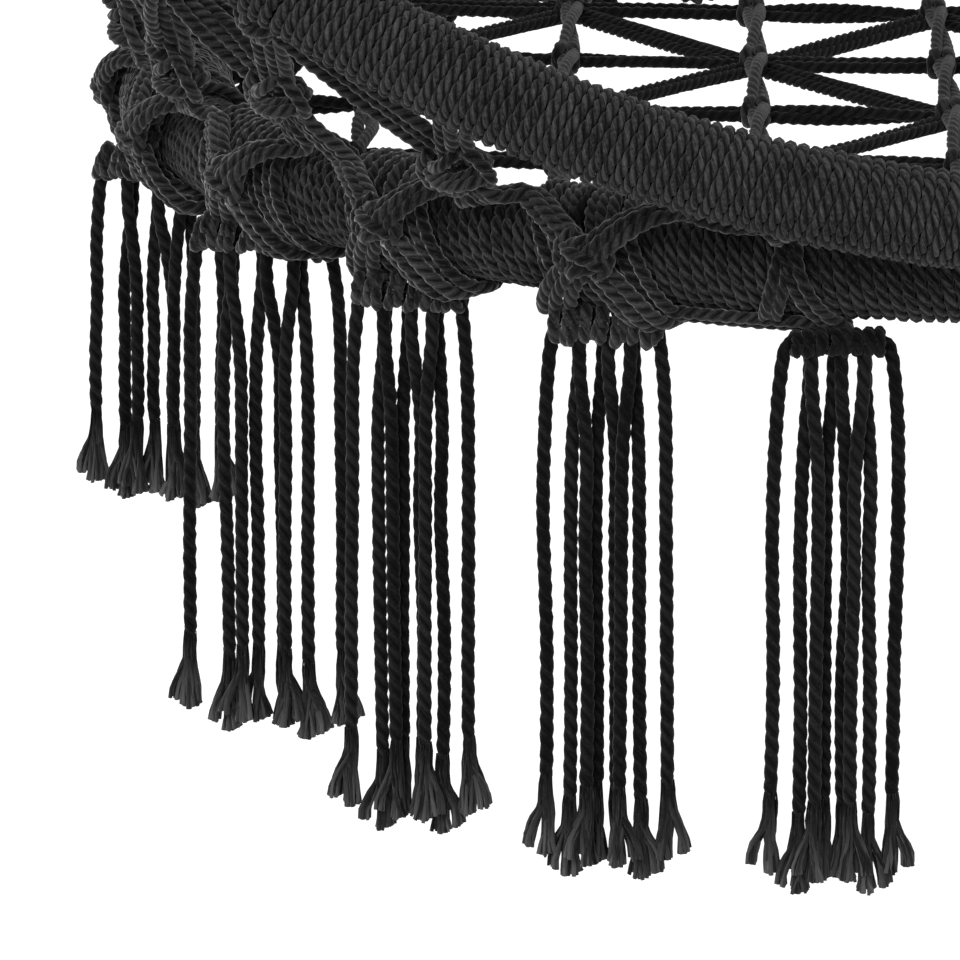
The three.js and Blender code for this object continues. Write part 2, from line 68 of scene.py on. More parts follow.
chair = {
    "seatHoopAcross": 0.600,
    "backHoopAcross": 0.800,
    "hoopTube": 0.022,
    "cord": 0.0044,
    "lay": 0.0126,  # along a cord for one turn of its plies
    "knotLay": 0.0120,
    "backTilt": 34.7,
    "touchRise": 36.4,  # above level, from the seat hoop's front to the back hoop's
    "restGap": 0.0003,
    "hitches": 24,
}
bandRadius = chair["hoopTube"] / 2 + chair["cord"]
hitchStep = 360 / chair["hitches"]


# Small maths

def unit(vectors):
    vectors = np.asarray(vectors, float)
    return vectors / np.linalg.norm(vectors, axis=-1, keepdims=True)


def evenPoints(points, spacing):
    lengths = np.linalg.norm(np.diff(points, axis=0), axis=1)
    run = np.concatenate([[0], np.cumsum(lengths)])
    count = max(3, int(round(run[-1] / spacing)) + 1)
    at = np.linspace(0, run[-1], count)
    return np.column_stack([np.interp(at, run, points[:, k]) for k in range(3)])


def smoothPath(points, spacing, finer=12):
    # A Catmull-Rom curve through the points, then evened out
    points = np.asarray(points, float)
    before = 2 * points[0] - points[1]
    after = 2 * points[-1] - points[-2]
    padded = np.vstack([before, points, after])
    t = np.linspace(0, 1, finer, endpoint=False)[:, None]
    stretches = []
    for a, b, c, d in zip(padded, padded[1:], padded[2:], padded[3:]):
        curve = 2 * b + (c - a) * t + (2 * a - 5 * b + 4 * c - d) * t**2 + (3 * b - a - 3 * c + d) * t**3
        stretches.append(curve / 2)
    return evenPoints(np.vstack([*stretches, points[-1:]]), spacing)


def sidesAlong(path, first=None):
    # A side vector at each point that turns no more than the path does
    tangents = unit(np.gradient(path, axis=0))
    if first is None:
        first = np.eye(3)[np.argmin(np.abs(tangents[0]))]
    side = unit(first - tangents[0] * (first @ tangents[0]))
    sides = [side]
    for here, after, tangent, coming in zip(path, path[1:], tangents, tangents[1:]):
        step = after - here
        square = step @ step
        side = side - (2 / square) * (step @ side) * step
        tangent = tangent - (2 / square) * (step @ tangent) * step
        turn = coming - tangent
        if turn @ turn > 1e-12:
            side = side - (2 / (turn @ turn)) * (turn @ side) * turn
        sides.append(side)
    return tangents, np.array(sides)


class Hoop:
    def __init__(self, across, lean):
        self.radius = across / 2 - bandRadius
        self.turning = np.array(lean)[:3, :3]
        self.middle = np.array(lean)[:3, 3]

    def axes(self, angle):
        # Outwards, upwards and onwards at this angle
        a = np.radians(np.asarray(angle, float))
        out = np.stack([np.sin(a), -np.cos(a), 0 * a], -1) @ self.turning.T
        along = np.stack([np.cos(a), np.sin(a), 0 * a], -1) @ self.turning.T
        return out, np.broadcast_to(self.turning[:, 2], out.shape), along

    def spot(self, angle, around=0.0, reach=0.0):
        out, up, _ = self.axes(angle)
        tubeTurn = np.radians(np.asarray(around, float))[..., None]
        reach = np.asarray(reach, float)[..., None]
        return self.middle + out * (self.radius + reach * np.cos(tubeTurn)) + up * reach * np.sin(tubeTurn)


def leaningMatrix():
    # The back hoop turns about its front, which rests on the seat hoop's front
    apart = 2 * bandRadius + chair["restGap"]
    rise = math.radians(chair["touchRise"])
    front = chair["seatHoopAcross"] / 2 - bandRadius + apart * math.cos(rise)
    foot = Matrix.Translation(Vector(seatCentre) + Vector((0, -front, apart * math.sin(rise))))
    backRadius = chair["backHoopAcross"] / 2 - bandRadius
    tilt = Matrix.Rotation(math.radians(chair["backTilt"]), 4, "X")
    return foot @ tilt @ Matrix.Translation((0, backRadius, 0))


seatHoop = Hoop(chair["seatHoopAcross"], Matrix.Translation(Vector(seatCentre)))
backHoop = Hoop(chair["backHoopAcross"], leaningMatrix())


# The view, as the photograph was taken
view = {
    "azimuth": -12.9,
    "elevation": 11.6,
    "distance": 2.6,
    "lens": 280.86,
    "aimAcross": -0.1806,
    "aimDrop": 0.1428,
    "farthest": 60,
}


def makeCamera():
    azimuth, elevation = (math.radians(view[k]) for k in ("azimuth", "elevation"))
    back = Vector((
        math.sin(azimuth) * math.cos(elevation),
        -math.cos(azimuth) * math.cos(elevation),
        math.sin(elevation),
    ))
    right = Vector((math.cos(azimuth), math.sin(azimuth), 0))
    middle = Vector(seatCentre)
    aim = middle + right * view["aimAcross"] - Vector((0, 0, view["aimDrop"]))
    eye = middle + back * view["distance"]
    lens = bpy.data.cameras.new("camera")
    lens.lens = view["lens"]
    lens.clip_end = view["farthest"]
    camera = bpy.data.objects.new("camera", lens)
    camera.location = eye
    camera.rotation_euler = (aim - eye).to_track_quat("-Z", "Y").to_euler()
    scene.collection.objects.link(camera)
    scene.camera = camera


makeCamera()
print("camera placed")


# Shader nodes

class Socket:
    # A node's output that can take part in sums
    def __init__(self, shader, link):
        self.shader = shader
        self.link = link

    def sum(self, operation, *values):
        return self.shader.node("ShaderNodeMath", {"operation": operation}, *values)

    def __add__(self, other):
        return self.sum("ADD", self, other)

    def __radd__(self, other):
        return self.sum("ADD", other, self)

    def __sub__(self, other):
        return self.sum("SUBTRACT", self, other)

    def __rsub__(self, other):
        return self.sum("SUBTRACT", other, self)

    def __mul__(self, other):
        return self.sum("MULTIPLY", self, other)

    def __rmul__(self, other):
        return self.sum("MULTIPLY", other, self)

    def __truediv__(self, other):
        return self.sum("DIVIDE", self, other)

    def __rtruediv__(self, other):
        return self.sum("DIVIDE", other, self)

    def __pow__(self, other):
        return self.sum("POWER", self, other)

    def __rpow__(self, other):
        return self.sum("POWER", other, self)


class Nodes:
    # The nodes of one tree, a material's or the world's
    def __init__(self, tree):
        self.tree = tree

    def node(self, kind, settings=None, *values, out=0, **named):
        # Makes a node, sets its settings, then fills its sockets in order or by name
        made = self.tree.nodes.new(kind)
        for key, value in (settings or {}).items():
            setattr(made, key, value)
        for key, value in [*enumerate(values), *named.items()]:
            self.fill(made.inputs[key], value)
        return Socket(self, made.outputs[out])

    def fill(self, socket, value):
        if isinstance(value, Socket):
            self.tree.links.new(value.link, socket)
        elif value is not None:
            socket.default_value = value

    def mixed(self, factor, first, second):
        # The node's factor and its two colours are its inputs 0, 6 and 7, and the mix its output 2
        made = self.tree.nodes.new("ShaderNodeMix")
        made.data_type = "RGBA"
        for key, value in ((0, factor), (6, first), (7, second)):
            self.fill(made.inputs[key], value)
        return Socket(self, made.outputs[2])

    def noise(self, place, scale, detail, **named):
        kind = {"noise_dimensions": "3D"}
        return self.node("ShaderNodeTexNoise", kind, place, Scale=scale, Detail=detail, **named)

    def attribute(self, name):
        return self.node("ShaderNodeAttribute", {"attribute_name": name}, out=2)


class Shader(Nodes):
    def __init__(self, name):
        self.material = bpy.data.materials.new(name)
        self.material.use_nodes = True
        super().__init__(self.material.node_tree)
        self.surface = self.tree.nodes["Principled BSDF"]

    def finish(self, **sockets):
        for key, value in sockets.items():
            self.fill(self.surface.inputs[key.replace("_", " ")], value)
        return self.material


def grey(level):
    # A colour from its grey level as written in a picture, 0 to 255
    share = level / 255
    linear = share / 12.92 if share < 0.04045 else ((share + 0.055) / 1.055) ** 2.4
    return linear, linear, linear, 1


# Cotton cord: a close-up look of twisted yarn, with painted shade in the creases between its plies, and light
# where fibres stand off
cotton = {
    "fibreLength": 0.009,
    "fibresAround": 15,
    "fibreSlant": 260.0,
    "patternApart": 40,  # between the fibre patterns of the lightest cord and the darkest
    "fibreRoughness": 0.65,
    "fuzzSize": 0.0011,
    "patches": 60.0,  # in a metre
    "shade": 0.44,  # from dark to light, before fibres, fuzz, patches and the cord's tone change it
    "fibreContrast": 2.6,
    "fuzzContrast": 1.3,
    "patchContrast": 0.8,
    "toneContrast": 0.5,
    # the painted shade in the creases between plies: its darkest grey, and how quickly it fades towards the
    # crests
    "creaseShadeGrey": 2,
    "creaseShadePower": 1.2,
    "frayedShare": 0.2,
    "frayedFibres": 1.1,
    "roughness": 0.95,
    "sheenRoughness": 0.4,
    "shine": 0.12,
    "bump": 0.85,
    "bumpHeight": 0.0007,
    "fibreBump": 0.65,
    "fuzzBump": 0.35,
}
cottonGreys = {  # the dark and the light of the cord, its frayed ends, and its sheen
    "winding_cotton": (20, 86, 84, 0.16),
    "net_cotton": (14, 74, 88, 0.50),
    # the seat net's one cotton in two copies: a darker one for the rows, slants and edge, painted shade, and
    # a lighter one for the columns, painted light
    "seat_row_shaded_cotton": (4, 38, 70, 0.12),
    "seat_column_lit_cotton": (14, 62, 70, 0.20),
    # the tassels: the same cotton as the rest, made darker, painted shade
    "tassel_cotton": (3, 42, 100, 0.14),
    "rope_cotton": (26, 64, 80, 0.08),
}


def cottonMaterial(name):
    dark, light, frayedGrey, sheen = cottonGreys[name]
    shader = Shader(name)
    along, turn, _ = (shader.node("ShaderNodeSeparateXYZ", None, shader.node(
        "ShaderNodeUVMap", {"uv_map": "cordMap"}), out=k) for k in range(3))
    crest = shader.attribute("crest")
    tone = shader.attribute("tone")
    frayed = shader.attribute("frayed")
    fibreAt = shader.node("ShaderNodeCombineXYZ", None, along / cotton["fibreLength"],
                          turn * cotton["fibresAround"] + along * cotton["fibreSlant"],
                          tone * cotton["patternApart"])
    fibre = shader.noise(fibreAt, 1.0, 4.0, Roughness=cotton["fibreRoughness"])
    place = shader.node("ShaderNodeTexCoord", out=3)
    fuzz = shader.noise(place, 1 / cotton["fuzzSize"], 3.0)
    patch = shader.noise(place, cotton["patches"], 2.0)
    lit = cotton["shade"] + (fibre - 0.5) * cotton["fibreContrast"] + (fuzz - 0.5) * cotton["fuzzContrast"] \
        + (patch - 0.5) * cotton["patchContrast"] + (tone - 0.5) * cotton["toneContrast"]
    shade = shader.mixed(lit, grey(dark), grey(light))
    # painted shade: the colour darkens to a near-black grey in the creases between plies, where the crest
    # attribute falls to 0
    creaseShaded = shader.mixed(crest ** cotton["creaseShadePower"], grey(cotton["creaseShadeGrey"]), shade)
    opened = frayed * (cotton["frayedShare"] + fibre * cotton["frayedFibres"])
    bumps = shader.node("ShaderNodeBump", None, cotton["bump"], cotton["bumpHeight"],
                        fibre * cotton["fibreBump"] + fuzz * cotton["fuzzBump"])
    return shader.finish(
        Base_Color=shader.mixed(opened, creaseShaded, grey(frayedGrey)),
        Roughness=cotton["roughness"],
        Normal=bumps,
        Sheen_Weight=sheen,
        Sheen_Roughness=cotton["sheenRoughness"],
        Specular_IOR_Level=cotton["shine"],
    )


windingCotton, netCotton, rowShadedCotton, columnLitCotton, tasselShadedCotton, ropeCotton = map(cottonMaterial, cottonGreys)


# Twisted cords, gathered into one mesh
twist = {
    "shoulder": 0.35,  # how far a ply's shoulders lie down from its crest, as a share of the crease's depth
    "stray": 0.03,  # of the radius, at every point
    "rowSlack": 1.02,  # a row of the bake map to the longest step that it has to hold
    "rowFill": 1.05,  # a row's length to what lies in it
    "rowMargin": 0.04,
    "capAt": 0.004,  # where the cords' ends lie on both maps
    "capReach": 0.003,
}


def cornerMap(low, high, left, right):
    # Places on a map for the four corners of each face, from its ends along a cord and its sides round it
    corners = ((low, left), (low, right), (high, right), (high, left))
    return np.stack([np.stack(corner, -1) for corner in corners], 2).reshape(-1, 2)


class Cords:
    def __init__(self, plies=3, crease=0.62):
        # Across each ply lie its crest, a shoulder, the crease and a shoulder, as shares of the cord's radius
        shoulder = 1 - twist["shoulder"] * (1 - crease)
        self.crease = crease
        self.profile = np.tile((1.0, shoulder, crease, shoulder), plies)
        self.rings = []

    def add(self, path, across, lay, swell=None, frayed=None, axes=None, tone=None):
        # One cord along an even path, with its own tangents and sides there or those that turn least
        path = np.asarray(path, float)
        tangents, sides = axes or sidesAlong(path)
        run = np.concatenate([[0], np.cumsum(np.linalg.norm(np.diff(path, axis=0), axis=1))])
        turns = dice.uniform(0, 2 * math.pi) - 2 * math.pi * run / lay
        swell = np.ones(len(path)) if swell is None else swell
        frayed = np.zeros(len(path)) if frayed is None else frayed
        tone = dice.uniform() if tone is None else tone
        radii = across / 2 * swell
        self.rings.append((run, radii, path, np.cross(tangents, sides), sides, turns, tone, frayed))

    def mesh(self, name):
        around = len(self.profile)
        spread = 2 * math.pi * np.arange(around) / around
        # the bake map is cut into rows of one length, which the cords fill one after the other
        length = sum(run[-1] for run, *_ in self.rings)
        girth = 2 * math.pi * float(np.mean([radii.mean() for _, radii, *_ in self.rings]))
        longestStep = max(np.diff(run).max() for run, *_ in self.rings)
        rowLength = max(math.sqrt(length * girth), twist["rowSlack"] * longestStep)
        rows = math.ceil(length / rowLength) + 1
        places, quads, caps, cordMap, bakeMap = [], [], [], [], []
        crests, tones, frays = [], [], []
        first, laid = 0, 0.0
        for run, radii, path, ahead, sides, turns, tone, frayed in self.rings:
            angles = turns[:, None] + spread
            reach = radii[:, None] * self.profile * (1 + dice.normal(0, twist["stray"], angles.shape))
            ring = path[:, None] + (reach * np.cos(angles))[..., None] * sides[:, None] \
                + (reach * np.sin(angles))[..., None] * ahead[:, None]
            places.append(ring.reshape(-1, 3))
            count = len(path)
            near = first + np.arange(count - 1)[:, None] * around + np.arange(around)
            after = first + np.arange(count - 1)[:, None] * around + (np.arange(around) + 1) % around
            quads.append(np.stack([near, after, after + around, near + around], -1).reshape(-1, 4))
            caps += [first + np.arange(around)[::-1], first + (count - 1) * around + np.arange(around)]
            low, high = (np.broadcast_to(ends[:, None], near.shape) for ends in (run[:-1], run[1:]))
            left = np.broadcast_to(np.arange(around) / around, near.shape)
            right = left + 1 / around
            cordMap.append(cornerMap(low, high, left, right))
            row = np.floor((laid + low) / rowLength)
            start = (laid + low - row * rowLength) / rowLength / twist["rowFill"]
            end = start + (high - low) / rowLength / twist["rowFill"]
            margin = twist["rowMargin"]
            heights = ((row + margin + (1 - 2 * margin) * side) / rows for side in (left, right))
            bakeMap.append(cornerMap(start, end, *heights))
            # how near each point lies to its ply's crest, 1 there and 0 in the crease; the cotton paints
            # shade into the creases from it
            crests.append(np.tile((self.profile - self.crease) / (1 - self.crease), count))
            tones.append(np.full(count * around, tone))
            frays.append(np.repeat(frayed, around))
            laid += run[-1]
            first += count * around
        quads = np.vstack(quads)
        spots = np.concatenate([quads.ravel(), *caps])
        starts = np.concatenate([4 * np.arange(len(quads)), 4 * len(quads) + around * np.arange(len(caps))])
        circle = np.stack([np.cos(spread), np.sin(spread)], -1)
        capMap = np.tile(twist["capAt"] + twist["capReach"] * circle, (len(caps), 1))
        mesh = bpy.data.meshes.new(name)
        mesh.vertices.add(first)
        mesh.vertices.foreach_set("co", np.vstack(places).ravel())
        mesh.loops.add(len(spots))
        mesh.loops.foreach_set("vertex_index", spots)
        mesh.polygons.add(len(starts))
        mesh.polygons.foreach_set("loop_start", starts)
        mesh.update(calc_edges=True)
        mesh.shade_smooth()
        for key, values in (("OFBake", bakeMap), ("cordMap", cordMap)):
            layer = mesh.uv_layers.new(name=key)
            layer.uv.foreach_set("vector", np.vstack([*values, capMap]).ravel())
        for key, values in (("crest", crests), ("tone", tones), ("frayed", frays)):
            layer = mesh.attributes.new(key, "FLOAT", "POINT")
            layer.data.foreach_set("value", np.concatenate(values).astype(np.float32))
        return mesh

    def piece(self, name, material):
        made = bpy.data.objects.new(name, self.mesh(name))
        made.data.materials.append(material)
        scene.collection.objects.link(made)
        return made


def settle(piece, body, node, slot):
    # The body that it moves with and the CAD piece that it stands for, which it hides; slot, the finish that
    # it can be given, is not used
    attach(piece, body)
    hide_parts(node)


def ring(middle, first, second, steps):
    # A closed loop's points, a little more than once round so that its ends meet inside it
    turn = np.linspace(0, 2 * math.pi * (1 + 1 / steps), steps + 2)[:, None]
    return middle + np.asarray(first) * np.cos(turn) + np.asarray(second) * np.sin(turn)


# Tassels: a hitch and a row of knots under the seat hoop, then eight cords that end frayed
tassel = {
    "angles": (7.5, 22.5, 37.5, 52.5, 67.5, 90.0),
    "lengthShares": (1.0, 1.0, 1.02, 1.01, 0.925, 0.63),
    "spreadShares": (1.0, 1.0, 1.0, 1.0, 1.4, 1.35),
    "shown": (7, 8, 9, 10, 11),  # the ones with a piece for each cord
    "facingShare": 0.45,
    "length": 0.1725,
    "headFoot": 0.0276,  # below the seat hoop's middle
    "headTop": 0.0206,
    "sideRise": 0.0045,  # how much higher the heads of the wide ones stand
    "hangOut": 0.0088,
    "cord": 0.0044,
    "strand": 0.0047,  # a hanging cord's thickness
    "strandCrease": 0.80,
    "strandLay": 0.0156,
    "step": 0.0017,
    "across": (4.39, 2.43, 1.27, 0.70),  # cords from the tassel's middle, outermost first
    "acrossTop": (3.10, 1.95, 1.85, 0.25),  # the same where they leave the head
    "depth": (0.0, 0.0, 0.5, -0.5),
    "depthTop": (0.0, -0.45, 0.55, 0.5),
    "shares": (0.962, 1.0, 0.976, 0.976),  # of the longest
    "arcBeyond": 0.015,  # cords that hang further out than this leave the head in an arc
    "lean": 0.0007,
    "sway": 0.0003,
    "endPoints": 6,  # over which a cord thins out inside its fray
}
tuft = {
    "length": 0.027,
    "cordInside": 0.009,
    "yarns": 60,
    "yarn": 0.0010,
    "yarnShares": (0.8, 1.3),
    "crease": 0.90,
    "lay": 0.020,
    "step": 0.0032,
    "locks": 6,
    "lockShare": 0.35,
    "stray": 0.8,
    "startShares": (0.12, 0.47),  # of the cord's thickness, from its middle
    "sideOfFive": 2,  # yarns of every five that go into the smaller tuft
    "sideOut": 0.0056,
    "sideWide": 0.0017,
    "sideShort": 0.0014,
    "sideUneven": 0.0006,
    "sideRound": 0.3,  # how much shorter a yarn hangs for each metre aside
    "mainIn": 0.0006,
    "mainWide": 0.0030,
    "mainUneven": 0.0007,
    "mainRound": 0.4,
    "deep": 0.0036,
    "crimp": (0.0001, 0.0005),
    "closedShare": 0.36,  # of its length, before the yarns part
    "openest": 1.25,
}
head = {  # the row of knots, larger where the back net's cords end in it
    "crease": 0.74,
    "step": 0.0016,
    "reach": 0.0049,
    "bend": 2.0,
    "waver": 0.0006,
    "waverTurns": 900,
    "crown": 0.0012,
    "coresApart": 0.35,  # from the row's middle, in cords
    "coreCord": 0.85,
    "knotCord": 0.95,
    "endRoom": 0.0015,
    "upStray": 0.0004,
    "asideStray": 0.0003,
    "looseOut": 0.0012,  # how far out the larger row's looser knots stand
    "tilt": (0.14, 0.1),
    "tallShares": (0.85, 1.1),
    "small": {"half": 0.0145, "tall": 0.0028, "knots": 8, "lift": 0.0029, "loose": 1.0},
    "large": {"half": 0.0175, "tall": 0.0050, "knots": 11, "lift": 0.0017, "loose": 1.6},
}
hitch = {  # angles are in degrees
    "ends": (-100, 262),  # round the tube
    "turns": (8, 11),  # on a tassel of the usual width and on a wide one
    "turnsLean": 1.8,  # along the hoop, either way of its middle
    "turnsCord": 1.06,
    "turnsLift": 0.0006,
    "turnsStray": 0.15,
    "legTop": 50,  # where cords come from between the hoops
    "firstLegTop": 36,  # the same beside the lashing
    # how far along the hoop a leg's foot stands, and its places round the tube, the first from legTop
    "legs": ((4.6, (0, 12, -24, -58, -84)), (0.1, (2, 14, -22, -56, -88))),
    "legStart": 2.9,
    "legBend": (0.0, 0.12, 0.42, 0.78, 1.0),
    "legsApart": 0.42,
    "under": ((-98, 0.0), (-80, 0.0006), (-62, 0.0)),  # place and sag of the cords under the hoop
    "underRoom": 0.0008,
    "underStart": 0.3,
    "underShort": 3.0,
    "underStep": 0.0018,
    # the cords into the row of knots: across as a share of stemOut, out from the hang and down
    "stem": ((0.5, -0.006, 0.0160), (0.7, -0.002, 0.0175), (1.0, 0.0, 0.0215)),
    "stemOut": 0.0044,
    "stemStep": 0.0014,
    "apart": 0.52,  # between the two turns of a plain hitch and its middle, in cords
}


def bothWays(angles):
    return [*angles, *(-angle for angle in reversed(angles))]


def hitchPath(angle, beside, lift=0.0004, lean=0.0):
    # One close turn of cord round the seat hoop, from its underside over the outer face
    around = np.linspace(*hitch["ends"], 60)
    turn = math.degrees(beside / seatHoop.radius) + lean * np.sin(np.radians(around))
    return seatHoop.spot(angle + turn, around, bandRadius + chair["cord"] / 2 + lift)


class Tassel:
    def __init__(self, number, angle):
        place = tassel["angles"].index(abs(angle))
        share, self.spread = tassel["lengthShares"][place], tassel["spreadShares"][place]
        self.name = f"tassel_{number:02d}"
        self.shown = number in tassel["shown"]
        self.angle = angle
        facing = math.radians(angle * tassel["facingShare"])
        self.out = np.array((math.sin(facing), -math.cos(facing), 0))
        self.wide = np.array((math.cos(facing), math.sin(facing), 0))
        across, _, _ = seatHoop.axes(angle)
        self.hang = seatHoop.spot(angle) + across * tassel["hangOut"]
        self.rise = tassel["sideRise"] * (self.spread > 1)
        self.foot = tassel["headFoot"] - self.rise
        self.longest = tassel["length"] * share + self.rise
        self.netted = abs(angle) > 2 * hitchStep

    def spot(self, across, depth, height):
        # A place across the tassel, out from its hang and up from the seat hoop's middle
        return self.hang + self.out * depth + self.wide * across + np.array((0, 0, height))

    def strands(self):
        keys = ("across", "acrossTop", "depth", "depthTop", "shares")
        for across, acrossTop, depth, depthTop, share in zip(*(tassel[key] for key in keys)):
            for way in (-1, 1):
                sizes = (way * across, way * acrossTop, depth, way * depthTop if across < 1 else depthTop)
                x, top, y, yTop = (size * tassel["cord"] for size in sizes)
                yield x * self.spread, top * self.spread, y, yTop, self.foot + self.longest * share

    def strandPath(self, x, top, y, yTop, end):
        # Out of the head, over in a small arc if it is an outer one, and down
        lean = dice.normal(0, tassel["lean"])
        sway = dice.normal(0, tassel["sway"])
        foot = self.foot
        if abs(x) > tassel["arcBeyond"] * self.spread:
            shape = [
                (top * 0.70, -foot + 0.0046, yTop),
                (top * 0.93, -foot + 0.0072, yTop),
                (top * 1.18, -foot + 0.0046, yTop),
                (top * 1.31, -foot - 0.0060, yTop),
                (x * 0.985, -foot - 0.0250, y),
            ]
        else:
            shape = [
                (top, -foot + 0.0040, yTop * 0.5),
                (top, -foot - 0.0015, yTop),
                (top + (x - top) * 0.12, -foot - 0.0100, yTop),
                (top + (x - top) * 0.62, -foot - 0.0230, yTop + (y - yTop) * 0.5),
                (x, -foot - 0.0400, y),
            ]
        straight = shape[-1][1]
        low = -end + tuft["length"] - tuft["cordInside"]
        shape += [
            (x + sway, straight + 0.25 * (low - straight), y),
            (x + lean * 0.6 - sway, straight + 0.6 * (low - straight), y),
            (x + lean, low, y),
        ]
        path = smoothPath([self.spot(a, d, h) for a, h, d in shape], tassel["step"])
        return path, x + lean

    def fray(self, cords, x, depth, end):
        # The cord's yarns come apart into a main tuft and a smaller one that splays away from the middle
        way = 1 if x > 0 else -1
        top = -end + tuft["length"]
        locks = dice.uniform(-1, 1, (tuft["locks"], 2))
        for i in range(tuft["yarns"]):
            stray = dice.uniform(-tuft["stray"], tuft["stray"], 2)
            lock = locks[i % tuft["locks"]] * tuft["lockShare"] + stray
            apart = i % 5 < tuft["sideOfFive"]
            inner = tassel["cord"] * dice.uniform(*tuft["startShares"])
            ply = dice.uniform(0, 2 * math.pi)
            a0, d0 = x + inner * math.cos(ply), depth + inner * math.sin(ply)
            if apart:
                a0 = x + way * abs(a0 - x)
                a1 = x + way * (tuft["sideOut"] + tuft["sideWide"] * lock[0])
                stop = -end + tuft["sideShort"] + dice.uniform(0.0, tuft["sideUneven"]) \
                    + tuft["sideRound"] * abs(a1 - x)
            else:
                a1 = x - way * tuft["mainIn"] + tuft["mainWide"] * lock[0]
                stop = -end + dice.uniform(0.0, tuft["mainUneven"]) + tuft["mainRound"] * abs(a1 - x)
            d1 = depth + tuft["deep"] * lock[1]
            crimp = dice.uniform(*tuft["crimp"])
            phase = dice.uniform(0, 2 * math.pi)
            spots = []
            for share in np.linspace(0, 1, 8):
                loose = max(0, (share - tuft["closedShare"]) / (1 - tuft["closedShare"]))
                spread = math.sin(math.pi / 2 * loose) ** 1.2 if apart else loose**1.3
                wave = crimp * math.sin(phase + 8 * share) * min(1, 4 * share)
                height = top + (stop - top) * share
                spots.append(self.spot(a0 + (a1 - a0) * spread + wave, d0 + (d1 - d0) * spread, height))
            path = smoothPath(spots, tuft["step"], 4)
            share = np.linspace(0, 1, len(path))
            swell = np.minimum(0.4 + 4 * share, 0.9 + 0.5 * share)
            cords.add(path, tuft["yarn"] * dice.uniform(*tuft["yarnShares"]), tuft["lay"], swell,
                      frayed=dice.uniform(0.0, tuft["openest"]) * share**1.6)

    def knots(self, cords):
        # A row of half hitches over a pair of cords
        cord = tassel["cord"]
        kind = head["large" if self.netted else "small"]
        middle = self.rise - (tassel["headTop"] + tassel["headFoot"]) / 2 + kind["lift"]
        half = kind["half"] * self.spread
        for lift in (-head["coresApart"], head["coresApart"]):
            bar = [self.spot(x, head["waver"] * math.cos(head["waverTurns"] * x),
                             middle + lift * cord - head["bend"] * x * x)
                   for x in np.linspace(-half, half, 7)]
            cords.add(smoothPath(bar, head["step"]), cord * head["coreCord"], chair["lay"])
        loose = kind["loose"]
        end = half - head["endRoom"]
        for x in np.linspace(-end, end, round(kind["knots"] * self.spread)):
            high = middle + dice.normal(0, head["upStray"]) * loose
            if self.netted:
                high += head["crown"] - head["bend"] * x * x
            aside = dice.normal(0, head["asideStray"]) * loose
            knot = self.spot(x + aside, head["looseOut"] * (loose - 1), high)
            tilt = dice.normal(*head["tilt"]) * loose
            first = (self.out + self.wide * tilt) * head["reach"]
            second = (np.array((0, 0, 1)) + self.wide * tilt) * kind["tall"]
            second = second * dice.uniform(*head["tallShares"])
            cords.add(ring(knot, first, second, 18), cord * head["knotCord"], chair["lay"])

    def turns(self, cords):
        # Close turns round the seat hoop, side by side
        cord = tassel["cord"]
        count = hitch["turns"][self.spread > 1]
        for beside in np.arange(count) - (count - 1) / 2:
            lean = math.copysign(hitch["turnsLean"], self.angle) + dice.normal(0, hitch["turnsStray"])
            path = hitchPath(self.angle, beside * cord, dice.uniform(0, hitch["turnsLift"]), lean)
            cords.add(path, cord * hitch["turnsCord"], chair["lay"])

    def legs(self, cords):
        # Where the hoops lie together, cords come from between them, part over the outer face and run on
        # under the hoop to the next tassel's knots
        cord = tassel["cord"]
        reach = bandRadius + 0.3 * cord
        way = math.copysign(1, self.angle)
        beyondFirst = abs(self.angle) > hitchStep
        top = hitch["legTop"] if beyondFirst else hitch["firstLegTop"]
        for foot, arounds in hitch["legs"]:
            for beside in (-hitch["legsApart"], hitch["legsApart"]):
                bend = hitch["legStart"] + (foot - hitch["legStart"]) * np.array(hitch["legBend"])
                turn = math.degrees(beside * cord / seatHoop.radius)
                around = np.array((top + arounds[0], *arounds[1:]))
                points = seatHoop.spot(self.angle + way * bend + turn, around, reach)
                cords.add(smoothPath(points, head["step"]), cord, chair["lay"])
        share = np.linspace(0, 1, 12)
        for around, sag in hitch["under"] if beyondFirst else ():
            angles = self.angle + way * (hitch["underStart"] + (hitchStep - hitch["underShort"]) * share)
            hang = reach + hitch["underRoom"] + sag * np.sin(math.pi * share) ** 0.7
            points = seatHoop.spot(angles, around + 0 * share, hang)
            cords.add(smoothPath(points, hitch["underStep"]), cord, chair["lay"])

    def hitch(self, cords):
        # The cords on the hoop, and the two that go from it into the row of knots
        if self.netted:
            self.turns(cords)
        else:
            self.legs(cords)
        for x in (-hitch["stemOut"], hitch["stemOut"]):
            stem = [self.spot(x * share, depth, -height) for share, depth, height in hitch["stem"]]
            cords.add(smoothPath(stem, hitch["stemStep"]), tassel["cord"], chair["lay"])

    def make(self):
        knots, hitches = Cords(crease=head["crease"]), Cords(crease=head["crease"])
        self.knots(knots)
        self.hitch(hitches)
